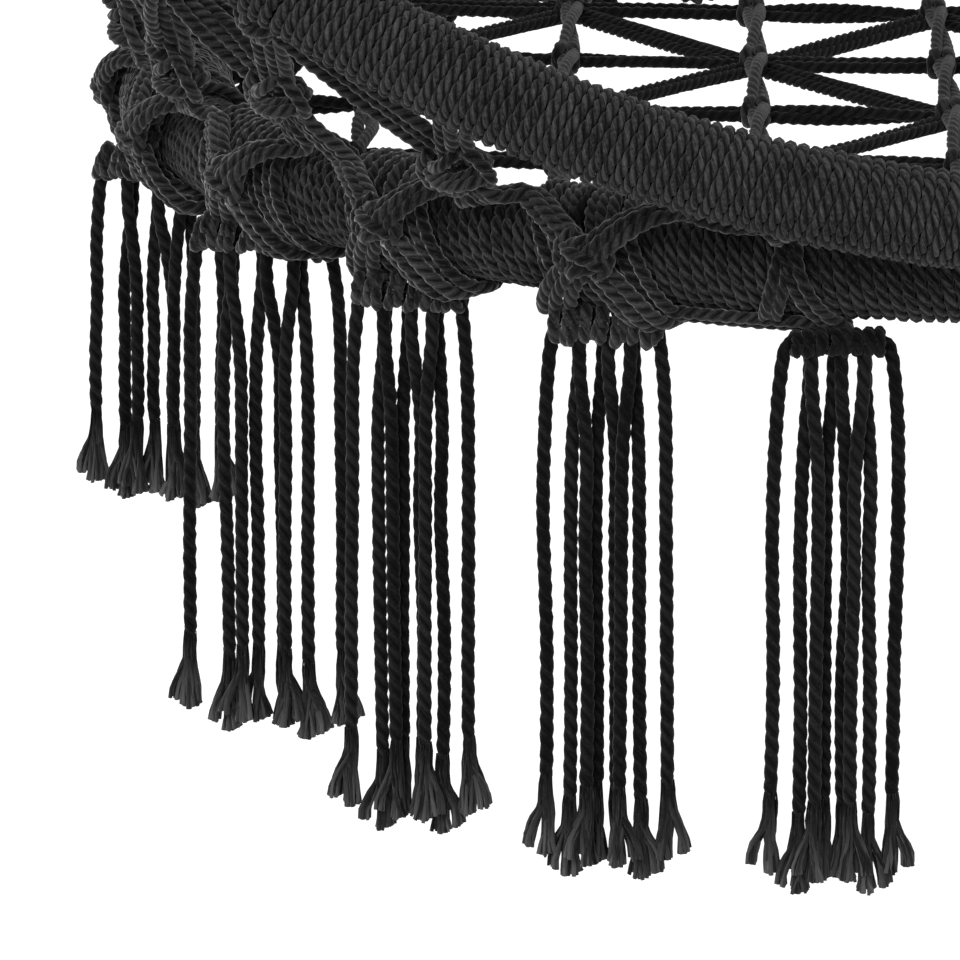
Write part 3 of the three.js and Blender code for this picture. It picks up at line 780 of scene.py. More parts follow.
        # the plain tassels' knots, the hanging cords and their frays take the tassels' darker cotton, painted
        # shade
        pieces = [hitches.piece(f"{self.name}_hitch", netCotton),
                  knots.piece(f"{self.name}_knots", netCotton if self.netted else tasselShadedCotton)]
        together = Cords(crease=tassel["strandCrease"])
        loose = Cords(1, tuft["crease"])
        for count, (x, top, y, yTop, end) in enumerate(self.strands(), 1):
            path, hang = self.strandPath(x, top, y, yTop, end)
            narrow = np.clip((len(path) - 1 - np.arange(len(path))) / tassel["endPoints"], 0.5, 1)
            cords = Cords(crease=tassel["strandCrease"]) if self.shown else together
            cords.add(path, tassel["strand"], tassel["strandLay"], narrow)
            yarns = Cords(1, tuft["crease"]) if self.shown else loose
            self.fray(yarns, hang, y, end)
            if self.shown:
                strand = cords.piece(f"{self.name}_cord_{count}", tasselShadedCotton)
                frayed = yarns.piece(f"{self.name}_fray_{count}", tasselShadedCotton)
                length = float(np.linalg.norm(np.diff(path, axis=0), axis=1).sum())
                pieces += [strand, frayed]
        if not self.shown:
            pieces.append(together.piece(f"{self.name}_cords", tasselShadedCotton))
            pieces.append(loose.piece(f"{self.name}_frays", tasselShadedCotton))
        for piece in pieces:
            settle(piece, "seat", self.name,
                   "net_cotton" if piece in pieces[:1 + self.netted] else "tassel_cotton")


for number, angle in enumerate(bothWays(tassel["angles"]), 1):
    Tassel(number, angle).make()
print("tassels hung")


# The winding on both hoops, one cord turned closely round the tube
winding = {
    "pitch": 0.0040,
    "lay": 0.0140,
    "cordShare": 0.985,  # of its thickness, as its neighbours squeeze it
    "tone": 0.4,
    "steps": 46,  # in a turn
    "lean": 0.0030,  # how far a turn's top stands along the hoop from its foot, either way of its middle
    "gap": 0.12,  # degrees between sections
    "wander": 0.012,  # of a turn's reach from the tube's middle
    "sections": ("front", "right", "rear", "left"),
}


def wind(hoop, place, body, lean):
    reach = chair["hoopTube"] / 2 + chair["cord"] / 2
    turns = round(hoop.radius * math.pi / 2 / winding["pitch"])
    for k, section in enumerate(winding["sections"]):
        turn = np.linspace(0, turns, turns * winding["steps"] + 1)
        around = 360 * turn - 90
        leaning = math.degrees(lean / hoop.radius) * np.sin(np.radians(around))
        angle = 90 * (k - 0.5) + winding["gap"] / 2 + (90 - winding["gap"]) * turn / turns + leaning
        reaches = dice.normal(0, 1, turns + 1)
        wander = 1 + winding["wander"] * np.interp(turn, np.arange(turns + 1), reaches)
        path = hoop.spot(angle, around, reach * wander)
        out, up, _ = hoop.axes(angle)
        tubeTurn = np.radians(around)[:, None]
        outwards = out * np.cos(tubeTurn) + up * np.sin(tubeTurn)
        tangents = unit(np.gradient(path, axis=0))
        sides = unit(outwards - tangents * (outwards * tangents).sum(1, keepdims=True))
        cords = Cords()
        cords.add(path, chair["cord"] * winding["cordShare"], winding["lay"], axes=(tangents, sides),
                  tone=winding["tone"])
        piece = cords.piece(f"{place}_winding_{section}_cord", windingCotton)
        settle(piece, body, f"{place}_winding_{section}", "winding_cotton")


wind(backHoop, "back", "back_frame", winding["lean"])
wind(seatHoop, "seat", "seat", -winding["lean"])
print("hoops wound")


# Ways of laying several cords together
def pairOf(cords, path, across, apart, side, crossings, wander, lay=chair["lay"], count=2):
    # Cords side by side along a path, that may cross over each other on the way
    path = np.asarray(path, float)
    tangents, sides = sidesAlong(path, side)
    others = np.cross(tangents, sides)
    run = np.linspace(0, 1, len(path))
    start = dice.uniform(-0.3, 0.3) if crossings else 0.0
    drift = dice.normal(0, wander, (count, 2))
    for k in range(count):
        place = (k - (count - 1) / 2) * apart
        turn = start + math.pi * crossings * run
        waver = np.sin(math.pi * run)[:, None]
        shift = sides * (place * np.cos(turn)[:, None] + drift[k, 0] * waver)
        shift = shift + others * (place * np.sin(turn)[:, None] + drift[k, 1] * waver)
        cords.add(path + shift, across, lay)


knotForm = {
    "cord": 0.0048,
    "step": 0.0016,
    "reach": 0.0052,
    "depth": 0.0046,
    "stray": 0.0003,
    "turns": ((-0.0042, 0.34), (0.0004, -0.30), (0.0046, 0.32)),  # how high on the core, and the slant
    # a cord's way across, up and out, at the knot's sides and over its front
    "bulge": ((0.0040, -0.0066, 0.0010), (0.0078, -0.0036, 0.0022), (0.0086, 0.0006, 0.0024),
              (0.0074, 0.0044, 0.0018), (0.0038, 0.0070, 0.0006)),
    "front": ((-0.0070, 0.0022, 0.0020), (-0.0035, 0.0006, 0.0056), (0.0010, -0.0006, 0.0066),
              (0.0045, -0.0020, 0.0050), (0.0072, -0.0034, 0.0018)),
}


def squareKnot(cords, middle, climb, wide, out, size=1.0, cord=knotForm["cord"]):
    # A core tied round by a cord that crosses its front twice and bulges at both sides
    middle = np.asarray(middle, float)
    reach, depth = knotForm["reach"] * size, knotForm["depth"] * size
    for lift, lean in knotForm["turns"]:
        at = middle + climb * lift * size + dice.normal(0, knotForm["stray"], 3)
        cords.add(ring(at, wide * reach + climb * lean * reach, out * depth, 20), cord, chair["knotLay"])
    for way, route in ((-1, "bulge"), (1, "bulge"), (1, "front")):
        points = [middle + wide * way * x * size + climb * z * size + out * y * size
                  for x, z, y in knotForm[route]]
        cords.add(smoothPath(points, knotForm["step"]), cord, chair["knotLay"])


# The back net: from each hitch on the seat hoop two arms fan out, meet their neighbours in knots and
# climb in diamonds to the back hoop
backNet = {
    "cord": 0.0050,
    "crease": 0.76,
    "step": 0.0018,
    "column": 7.5,
    "firstColumn": 5,
    "row": 0.044,
    "firstRow": 0.036,
    "firstKnots": {6: (0.034, 0.006), 8: (0.045, 0.006), 10: (0.035, 0.0)},  # height, drift to the front
    "footOut": 0.0170,
    "footUp": 0.042,  # the net stands off the line between the hoops below this height
    "clear": 0.0130,  # from a cord's top end to the middle of the back hoop
    "topRoom": 0.6,  # what a knot needs below that, in rows
    "pastTop": 0.006,
    "knotHalf": 0.0050,
    "knotOut": 0.0006,
    "lowKnot": 1.25,  # the first row's knots to the others
    "lowKnotWide": 1.3,
    "secondKnot": 0.0115,  # above a first one
    "oneKnotColumns": 8,  # the first row's knots are single up to here from the front
    "armCords": 3,
    "armApart": 0.86,  # between cords' middles, in cords
    "armReach": 1.3,
    "armBulge": 0.0012,
    "armOver": 0.0040,
    # its way up the hoop: aside in legSpreads, how wide it lies, how far to the next column, its place
    # round the tube, how far off the tube, and whether it crosses over the arm that comes the other way
    "armRoute": (
        (1.15, 1.1, 0.0, -86, -0.0030, 0),
        (1.0, 1.1, 0.0, -56, 0.0, 0),
        (0.60, 1.0, 0.0, -22, 0.0, 0),
        (0.0, 0.9, 0.08, 11, 0.0, 1),
        (0.0, 0.9, 0.40, 36, 0.0, 1),
        (0.0, 1.0, 0.70, 55, 0.0, 0),
    ),
    "armEnters": -2.2,  # heights in its knot, in knotHalves
    "armEnds": 0.2,
    "armAside": 0.0050,
    "armDrawn": (0.6, 0.4),  # how close its cords lie there
    # its way between the hoops where they are too near for a knot
    "armHidden": ((1.05, 62), (1.50, 62)),
    "armHiddenIn": 0.0030,
    "armHiddenFan": 15,
    "armHiddenRise": 0.7,
    "armHiddenOut": (0.002, -0.001),
    "legSpread": 0.0150,  # from a hitch to the foot of an arm's cords
    "pairApart": 0.90,
    "pairOut": 0.0008,
    "pairStray": 0.0006,
    "pairWander": 0.0005,
    "footKnotAround": 8,
    "footKnotOut": 0.0062,
    "blendFoot": 0.018,
    "blendTop": 0.003,
}
columns = round(360 / backNet["column"])
firstColumn = backNet["firstColumn"]
lastColumn = columns - firstColumn


class Generator:
    # The straight line from the seat hoop to the back hoop at an angle, that the net's columns follow
    def __init__(self, angle):
        self.foot = seatHoop.spot(angle)
        climb = backHoop.spot(angle) - self.foot
        self.length = float(np.linalg.norm(climb))
        self.climb = climb / self.length
        _, _, self.along = seatHoop.axes(angle)
        self.outwards = unit(np.cross(self.along, self.climb))
        self.wide = np.cross(self.climb, self.outwards)
        self.top = self.length - backNet["clear"]

    def spot(self, height, out=0.0):
        stand = backNet["footOut"] * max(0.0, 1 - height / backNet["footUp"]) ** 1.3
        return self.foot + self.climb * height + self.outwards * (stand + out)


def knotPlace(column, row):
    # How high a knot stands on its column's line and how far beside it
    if row > 1:
        return row * backNet["row"], 0.0
    height, drift = backNet["firstKnots"].get(min(column, columns - column), (backNet["firstRow"], 0.0))
    return height, drift if column > columns / 2 else -drift


def knotSpot(column, row, lift=0.0, out=0.0):
    line = Generator(column * backNet["column"])
    height, beside = knotPlace(column, row)
    return line.spot(height + lift, out) + line.wide * beside


def isKnot(column, row):
    top = Generator(column * backNet["column"]).top
    return knotPlace(column, row)[0] < top - backNet["topRoom"] * backNet["row"]


def armFromHoop(cords, column, way, high):
    # From the hitch, up the seat hoop's outer face, then over to the next column's first knot
    here = column * backNet["column"]
    step = way * backNet["column"]
    reach = bandRadius + backNet["armReach"] * backNet["cord"]
    count = backNet["armCords"]
    after = Generator(here + step)
    over = backNet["armOver"] if way > 0 else 0.0
    for k in range(count):
        beside = (k - (count - 1) / 2) * backNet["armApart"] * backNet["cord"]
        bulge = backNet["armBulge"] if k == 1 else 0.0
        # the cords' foot stands on the side that they climb away from, so that two arms cross
        points = []
        for leg, wide, share, around, lift, crosses in backNet["armRoute"]:
            aside = math.degrees((beside * wide - way * leg * backNet["legSpread"]) / seatHoop.radius)
            off = reach + lift + crosses * over + bulge
            points.append(seatHoop.spot(here + aside + share * step, around, off))
        if high:
            low, late = (knotSpot(column + way, 1, backNet[k] * backNet["knotHalf"])
                         for k in ("armEnters", "armEnds"))
            drawn, closer = backNet["armDrawn"]
            points.append(low - after.wide * (way * backNet["armAside"] - drawn * beside))
            points.append(late + after.wide * closer * beside)
        else:
            # where the hoops are too near for a knot, the cords run on between them
            aside = math.degrees(beside / seatHoop.radius)
            off = reach - backNet["armHiddenIn"]
            for share, around in backNet["armHidden"]:
                fanned = around + backNet["armHiddenFan"] * aside
                points.append(seatHoop.spot(here + share * step, fanned, off))
            beyond = Generator(here + 2.0 * step)
            rises = (backNet["armHiddenRise"] * beyond.top, beyond.top + backNet["pastTop"])
            for rise, out in zip(rises, backNet["armHiddenOut"]):
                points.append(beyond.spot(rise, out) + beyond.wide * beside)
        cords.add(smoothPath(points, backNet["step"]), backNet["cord"], chair["lay"])


def armBetween(cords, column, row, way):
    # A pair of cords from one knot up to a knot or to the back hoop, one column over
    here, after = (Generator(c * backNet["column"]) for c in (column, column + way))
    knotted = isKnot(column + way, row + 1)
    start = knotSpot(column, row, 0.3 * backNet["knotHalf"])
    end = knotSpot(column + way, row + 1) if knotted else after.spot(after.top + backNet["pastTop"])
    out = backNet["pairOut"] + dice.normal(0, backNet["pairStray"])
    quarter = 0.75 * start + 0.25 * end + here.outwards * out
    later = 0.25 * start + 0.75 * end + after.outwards * out
    path = smoothPath([start, quarter, later, end], backNet["step"])
    count = 3 if row == 1 else 2
    pairOf(cords, path, backNet["cord"], backNet["pairApart"] * backNet["cord"], here.wide,
           dice.choice((0.0, 0.0, 1.0)), backNet["pairWander"], count=count)


def footKnot(cords, column):
    # A knot between the arms' feet, on the hoop's outer face
    here = column * backNet["column"]
    out, up, along = seatHoop.axes(here)
    turn = math.radians(backNet["footKnotAround"])
    outwards = out * math.cos(turn) + up * math.sin(turn)
    upwards = up * math.cos(turn) - out * math.sin(turn)
    middle = seatHoop.spot(here, backNet["footKnotAround"], bandRadius + backNet["footKnotOut"])
    squareKnot(cords, middle, upwards, along, outwards, 1.0, backNet["cord"])


def netPiece(cords, name, generator):
    if not cords.rings:
        return
    piece = cords.piece(name, netCotton)
    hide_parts("back_net")
    tuple(generator.spot(backNet["blendFoot"]))
    tuple(generator.spot(generator.top - backNet["blendTop"]))
    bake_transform(piece)


def knotRows(column):
    # The rows in which this column has a knot, every other one
    row = 1
    while isKnot(column, row):
        if (column + row) % 2 == 1:
            yield row
        row += 1


def makeArms(column):
    # The arms that cross from this column to the next one
    arms = Cords(crease=backNet["crease"])
    for start, way in ((column, 1), (column + 1, -1)):
        if not firstColumn <= start <= lastColumn:
            continue
        if start % 2 == 1:
            armFromHoop(arms, start, way, isKnot(start + way, 1))
        for row in knotRows(start):
            armBetween(arms, start, row, way)
    netPiece(arms, f"back_net_arms_{column:02d}", Generator((column + 0.5) * backNet["column"]))


def makeKnots(column):
    line = Generator(column * backNet["column"])
    knots = Cords(crease=backNet["crease"])
    for row in knotRows(column):
        if not firstColumn <= column <= lastColumn:
            continue
        low = row == 1
        size, broad = (backNet["lowKnot"], backNet["lowKnotWide"]) if low else (1.0, 1.0)
        middle = knotSpot(column, row, 0.0, backNet["knotOut"])
        squareKnot(knots, middle, line.climb, line.wide * broad, line.outwards, size)
        if low and min(column, columns - column) > backNet["oneKnotColumns"]:
            middle = knotSpot(column, row, backNet["secondKnot"], backNet["knotOut"])
            squareKnot(knots, middle, line.climb, line.wide, line.outwards)
    netPiece(knots, f"back_net_knots_{column:02d}", line)


for column in range(firstColumn - 1, lastColumn + 1):
    makeArms(column)
    makeKnots(column)
print("back net knotted")


# Hitches where the net's cords come round the seat hoop, and the knots that hold their feet
def makeHitches():
    bare = [angle for angle in hitchStep * (np.arange(chair["hitches"] // 2) + 0.5)
            if angle not in tassel["angles"]]
    for number, angle in enumerate(bothWays(bare), 1):
        cords = Cords()
        for beside in (-hitch["apart"], hitch["apart"]):
            cords.add(hitchPath(angle, beside * chair["cord"]), chair["cord"], chair["lay"])
        piece = cords.piece(f"net_hitch_{number:02d}_cords", netCotton)
        settle(piece, "seat", f"net_hitch_{number:02d}", "net_cotton")
    feet = Cords(crease=backNet["crease"])
    for column in range(firstColumn, lastColumn + 1, 2):
        footKnot(feet, column)
    settle(feet.piece("back_net_feet", netCotton), "seat", "back_net", "net_cotton")


makeHitches()


# The seat net: pairs of cords in rows, twisted pairs across them, and a slanting pair through every
# other knot, all tied to a border cord inside the hoop
seatNet = {
    "cord": 0.0046,
    "crease": 0.74,
    "step": 0.0020,
    "cellWide": 0.0664,
    "cellDeep": 0.0865,
    "turn": -10.3,
    "rowShiftShare": 0.731,
    "columnShiftShare": -0.266,
    "borderRadius": 0.2568,
    "sag": 0.004,
    "wander": 0.0005,
    "crossing": 0.060,  # along a pair for each time its cords cross
    "rowLift": -0.0006,
    "rowSide": (0.87, 0.36),  # across a row and up, from one of its cords to the other
    "slantLift": -0.0018,
    "slantSide": (0.9, 0.3),
    "pairApart": 0.66,  # between the middles of such cords, in cords
    "riserLift": 0.0014,
    "riserHump": 0.0022,  # keeps the columns over the rows between their knots
    "riserApart": 0.90,
    "riserCrease": 0.80,
    "riserLay": 0.0180,
    "knotTurns": ((-0.0030, 0.20), (0.0014, -0.15)),  # places along the row, and slants
    "knotReach": 0.0047,
    "knotDepth": 0.0037,
    "border": ((-0.0018, 0.0), (0.0020, 0.0006)),  # each cord's height and how far out it lies
    "tieBeside": 0.0077,
    "tieInside": 0.004,
    "tieHeight": 0.0022,  # of its cords and knots over and under the border
    "tieTop": 0.0026,
    "tieRound": 165,  # degrees round the tube, either way from its outer face
    "tieRoom": 0.0003,
    "tieLeaves": 148,  # where it parts from the tube
    "tieOff": 0.0028,
    "tieKnotOut": 0.0045,
    "tieKnotReach": 0.0040,
    "tieKnotDepth": 0.0052,
    "tieKnotCord": 0.95,
}


def seatSpot(x, y, lift):
    # A place on the net, which sags towards its middle
    share = max(0.0, 1 - (x * x + y * y) / seatNet["borderRadius"] ** 2)
    return seatCentre + np.array((x, y, lift - seatNet["sag"] * share))


def latticeSpot(i, j):
    # Where column i and row j cross, seen from above
    turn = math.radians(seatNet["turn"])
    u = (i + seatNet["columnShiftShare"]) * seatNet["cellWide"]
    v = (j + seatNet["rowShiftShare"]) * seatNet["cellDeep"]
    return np.array((u * math.cos(turn) - v * math.sin(turn), u * math.sin(turn) + v * math.cos(turn)))


def toBorder(start, heading):
    # Where a cord that sets out from start that way meets the border
    along = start @ heading
    run = math.sqrt(along**2 + seatNet["borderRadius"] ** 2 - start @ start) - along
    return start + heading * run


def seatPair(cords, start, end, lift, crossings, apart, side, hump=0.0, lay=chair["knotLay"]):
    share = np.linspace(0, 1, 9)[:, None]
    spots = start + (end - start) * share
    lifts = lift + hump * np.sin(math.pi * share[:, 0]) ** 2
    path = smoothPath([seatSpot(x, y, z) for (x, y), z in zip(spots, lifts)], seatNet["step"])
    crossed = round(crossings * float(np.linalg.norm(end - start)) / seatNet["crossing"])
    pairOf(cords, path, seatNet["cord"], apart * seatNet["cord"], np.array(side, float), crossed,
           seatNet["wander"], lay)


def layLattice(rows, slants, risers):
    turn = math.radians(seatNet["turn"])
    rowWay = np.array((math.cos(turn), math.sin(turn)))
    columnWay = np.array((-math.sin(turn), math.cos(turn)))
    sides = (seatNet["rowSide"], seatNet["slantSide"])
    rowSide, slantSide = ((*(across * columnWay), up) for across, up in sides)
    reach = seatNet["borderRadius"]
    spread = math.ceil(reach / seatNet["cellWide"]) + 1
    inside = [(i, j) for i in range(-spread, spread + 1) for j in range(-spread, spread + 1)
              if np.linalg.norm(latticeSpot(i, j)) < reach - seatNet["cellWide"] / 4]
    for i, j in inside:
        here = latticeSpot(i, j)
        for di, dj, heading in ((1, 0, rowWay), (0, 1, columnWay), (-1, 0, -rowWay), (0, -1, -columnWay)):
            knotted = (i + di, j + dj) in inside
            if knotted and di + dj < 0:
                continue
            end = latticeSpot(i + di, j + dj) if knotted else toBorder(here, heading)
            if di:
                seatPair(rows, here, end, seatNet["rowLift"], dice.choice((0, 1)), seatNet["pairApart"],
                         rowSide)
            else:
                seatPair(risers, here, end, seatNet["riserLift"], 1, seatNet["riserApart"],
                         (1, 0, 0), seatNet["riserHump"], seatNet["riserLay"])
        if (i + j) % 2 == 1:
            for di in (1, -1):
                if (i + di, j + 1) in inside:
                    seatPair(slants, here, latticeSpot(i + di, j + 1), seatNet["slantLift"], 0,
                             seatNet["pairApart"], slantSide)
        # the column cords go round the row at each knot, with one slanting turn over it
        for place, lean in seatNet["knotTurns"]:
            middle = seatSpot(*(here + rowWay * place), 0.0002)
            first = np.append(columnWay + rowWay * lean, 0) * seatNet["knotReach"]
            second = np.array((0, 0, seatNet["knotDepth"]))
            risers.add(ring(middle, first, second, 18), seatNet["cord"], seatNet["riserLay"])


def layBorder(edge):
    # Two cords, one above the other
    around = np.linspace(0, 2 * math.pi * 1.004, 500)
    for lift, beyond in seatNet["border"]:
        reach = seatNet["borderRadius"] + beyond
        circle = np.stack([reach * np.cos(around), reach * np.sin(around), np.full(len(around), lift)], -1)
        edge.add(evenPoints(seatCentre + circle, seatNet["step"]), seatNet["cord"], chair["knotLay"])


def layTie(edge, angle):
    # From the border round the hoop beside a hitch and back, with a knot on the border
    cord = seatNet["cord"]
    here = angle + math.degrees(math.copysign(seatNet["tieBeside"], angle) / seatHoop.radius)
    out, up, _ = seatHoop.axes(here)
    start = seatHoop.middle + out * (seatNet["borderRadius"] - seatNet["tieInside"])
    off = bandRadius + seatNet["tieOff"]
    top, under = (seatHoop.spot(here, way * seatNet["tieLeaves"], off) for way in (1, -1))
    around = np.linspace(-seatNet["tieRound"], seatNet["tieRound"], 30)
    turnRound = seatHoop.spot(here + 0 * around, around, bandRadius + 0.5 * cord + seatNet["tieRoom"])
    path = smoothPath(np.vstack([
        start - (0, 0, seatNet["tieHeight"]), under[None, :] * 0.5 + start * 0.5, turnRound,
        top * 0.5 + start * 0.5, start + (0, 0, seatNet["tieTop"])]), seatNet["step"], 4)
    edge.add(path, cord, chair["knotLay"])
    for lift in (-seatNet["tieHeight"], seatNet["tieHeight"]):
        knot = ring(start + out * seatNet["tieKnotOut"] + up * lift, out * seatNet["tieKnotReach"],
                    up * seatNet["tieKnotDepth"], 16)
        edge.add(knot, cord * seatNet["tieKnotCord"], chair["knotLay"])


def makeSeatNet():
    rows, slants, edge = (Cords(crease=seatNet["crease"]) for _ in range(3))
    risers = Cords(crease=seatNet["riserCrease"])
    layLattice(rows, slants, risers)
    layBorder(edge)
    for angle in hitchStep * (np.arange(chair["hitches"]) - chair["hitches"] // 2 + 0.5):
        if abs(angle) > 2 * hitchStep:
            layTie(edge, angle)
    # all of these are the net's one cotton: the rows, slants and edge take the darker copy, painted shade,
    # and the columns the lighter copy, painted light
    for piece in (rows.piece("seat_net_rows", rowShadedCotton), slants.piece("seat_net_slants", rowShadedCotton),
                  edge.piece("seat_net_edge", rowShadedCotton), risers.piece("seat_net_columns", columnLitCotton)):
        settle(piece, "seat", "seat_net", "net_cotton")


makeSeatNet()
print("seat net knotted")


# The lashing round both hoops at the front, and the ropes that the chair hangs by
hanging = {
    "wire": 0.008,
    "bore": 0.060,
    "rope": 0.008,
    "ropeLay": 0.026,
    "ropeApart": 0.0086,
    "ropeAngles": {"front_left": -71.25, "rear_left": -138.75, "rear_right": 138.75, "front_right": 71.25},
    "ropeEyes": {"front_left": -1.5, "rear_left": -0.5, "rear_right": 0.5, "front_right": 1.5},
    "ropeStep": 0.0022,
    "bend": (50, 90, 135, 180, 225, 270, 310),  # degrees round the back hoop, and round the ring's wire
    "neckUp": 0.013,  # where a rope closes round the hoop, up from it and aside
    "neckOut": 0.0046,
    "spliceUp": 0.032,
    "spliceInside": 0.002,
    "straightUp": 0.030,  # how far past the splice a rope runs straight
    "straightDown": (0.060, 0.012),  # and how far below the head's foot
    "headPath": (0.088, 0.060, 0.034),  # below the ring's lower wire, through the whipping
    "eyeNeck": (0.0042, 0.0205),  # either side of the wire's middle, and below it
    "eyeEnd": 0.036,
    "meetBelow": 0.002,  # the head's foot, where the ropes come together
    "headTop": 0.052,  # below the middle of the ring's lower wire
    "headLength": 0.040,
    "eyeRoom": 0.001,
    "loopRoom": 0.0005,
    "whippingCord": 0.0028,
    "whippingStart": 0.030,
    "whippingLength": 0.040,
    "whippingLay": 0.0080,
    "lashingTurns": 6,
    "lashingPitch": 0.0051,
    "windingRoom": 0.0004,  # between a cord wound round several things and what it holds
}
lowerWire = hinges["swing"]


def stadium(first, second, half, radius, spacing):
    # A closed outline of two half circles and the straights between them
    turn = np.linspace(-math.pi / 2, math.pi / 2, 40)[:, None]
    arc = np.asarray(first) * (half + radius * np.cos(turn)) + np.asarray(second) * radius * np.sin(turn)
    return evenPoints(np.vstack([arc, -arc, arc[:1]]), spacing)[:-1]


def coil(start, end, outline, pitch):
    # A cord wound round an outline that moves from start to end
    steps = len(outline)
    turns = round(float(np.linalg.norm(end - start)) / pitch)
    share = np.arange(turns * steps + 1) / (turns * steps)
    return start + (end - start) * share[:, None] + outline[np.arange(len(share)) % steps]


def placeCord(name, node, material, slot, path, across, lay):
    cords = Cords()
    cords.add(path, across, lay)
    settle(cords.piece(name, material), "back_frame", node, slot)


def makeLashing():
    low, high = seatHoop.spot(0), backHoop.spot(0)
    ahead = unit(high - low)
    half = float(np.linalg.norm(high - low)) / 2
    cord = chair["cord"]
    reach = bandRadius + cord / 2 + hanging["windingRoom"]
    outline = stadium(ahead, np.cross(ahead, (1, 0, 0)), half, reach, 0.0018)
    side = np.array((hanging["lashingTurns"] * hanging["lashingPitch"] / 2, 0, 0))
    middle = (low + high) / 2
    path = coil(middle - side, middle + side, outline, hanging["lashingPitch"])
    placeCord("front_lashing_cord", "front_lashing", windingCotton, "winding_cotton", path, cord,
              chair["lay"])


def ropePath(eye, angle):
    # Round the back hoop and back into itself, up to the head whipping, and round the ring's wire
    x = eye * hanging["ropeApart"]
    rope = hanging["rope"]
    low = lowerWire + (x, 0, -hanging["headTop"] - hanging["headLength"] - hanging["meetBelow"])
    middle = backHoop.spot(angle)
    _, _, along = backHoop.axes(angle)
    away = low - middle
    away = unit(away - along * (away @ along))
    across = np.cross(along, away)
    reach = bandRadius + hanging["loopRoom"] + rope / 2
    foot = middle + away * reach
    climb = unit(low - foot)
    around = np.radians(hanging["bend"])
    loop = [middle + reach * (away * math.cos(a) + across * math.sin(a)) for a in around]
    splice = foot + climb * hanging["spliceUp"]
    neck, aside = foot + climb * hanging["neckUp"], across * hanging["neckOut"]
    points = [splice - climb * hanging["spliceInside"], neck + aside, *loop, neck - aside, splice,
              splice + climb * hanging["straightUp"], *(low - climb * z for z in hanging["straightDown"])]
    rise = 0.5 * hanging["bore"] + hanging["wire"] / 2
    rise = rise - math.sqrt(rise**2 - x**2)
    eyeReach = hanging["wire"] / 2 + hanging["eyeRoom"] + rise + rope / 2
    wire = lowerWire + (x, 0, 0)
    out, down = hanging["eyeNeck"]
    points += [*(wire + (0, 0, -z) for z in hanging["headPath"]), wire + (0, out, -down)]
    points += [wire + eyeReach * np.array((0, math.sin(a), -math.cos(a))) for a in around]
    points += [wire + (0, -out, -down), wire + (0, 0, -hanging["eyeEnd"])]
    return smoothPath(points, hanging["ropeStep"]), foot, climb


def makeRopes():
    cord = hanging["whippingCord"]
    radius = hanging["rope"] / 2 + cord / 2
    for name, angle in hanging["ropeAngles"].items():
        path, foot, climb = ropePath(hanging["ropeEyes"][name], angle)
        placeCord(f"rope_{name}_cord", f"rope_{name}", ropeCotton, "rope_cotton", path, hanging["rope"],
                  hanging["ropeLay"])
        first = unit(np.cross(climb, (1, 0, 0)))
        outline = stadium(first, np.cross(climb, first), 0.0, radius, 0.0015)
        start = foot + climb * hanging["whippingStart"]
        path = coil(start, start + climb * hanging["whippingLength"], outline, cord * 0.95)
        placeCord(f"rope_whipping_{name}_cord", f"rope_whipping_{name}", windingCotton, "winding_cotton",
                  path, cord, hanging["whippingLay"])
    reach = 1.5 * hanging["ropeApart"]
    outline = stadium((1, 0, 0), (0, 1, 0), reach, radius + hanging["windingRoom"], 0.0017)
    bottom = lowerWire - (0, 0, hanging["headTop"] + hanging["headLength"])
    path = coil(bottom, bottom + (0, 0, hanging["headLength"]), outline, cord * 0.95)
    placeCord("head_whipping_cord", "head_whipping", windingCotton, "winding_cotton", path, cord,
              hanging["whippingLay"])


makeLashing()
makeRopes()
print("ropes hung")


# Steel, bright on the ring and painted on the tubes inside the windings
steel = {
    "patches": 60.0,  # in a metre
    "worn": 0.72,
    "roughnessChange": 0.25,
    "bump": 0.12,
    "bumpHeight": 0.0002,
}
weld = {
    "at": 1.5 * math.pi,
    "wide": 0.05,
    "rise": 0.09,
    "ripple": 0.3,
    "ripples": 70,
}


def steelMaterial(name, colour, roughness, metallic, brushed):
    shader = Shader(name)
    place = shader.node("ShaderNodeTexCoord", out=3)
    fine = shader.noise(place, brushed, 4.0)
    broad = shader.noise(place, steel["patches"], 3.0)
    worn = shader.mixed(broad, colour, tuple(steel["worn"] * c for c in colour[:3]) + (1,))
    return shader.finish(
        Base_Color=worn,
        Roughness=roughness + (fine - 0.5) * steel["roughnessChange"],
        Metallic=metallic,
        Normal=shader.node("ShaderNodeBump", None, steel["bump"], steel["bumpHeight"], fine),
    )


ringSteel = steelMaterial("ring_steel", (0.62, 0.62, 0.60, 1), 0.28, 1.0, 1400.0)
hoopPaint = steelMaterial("hoop_paint", grey(38), 0.45, 0.0, 700.0)


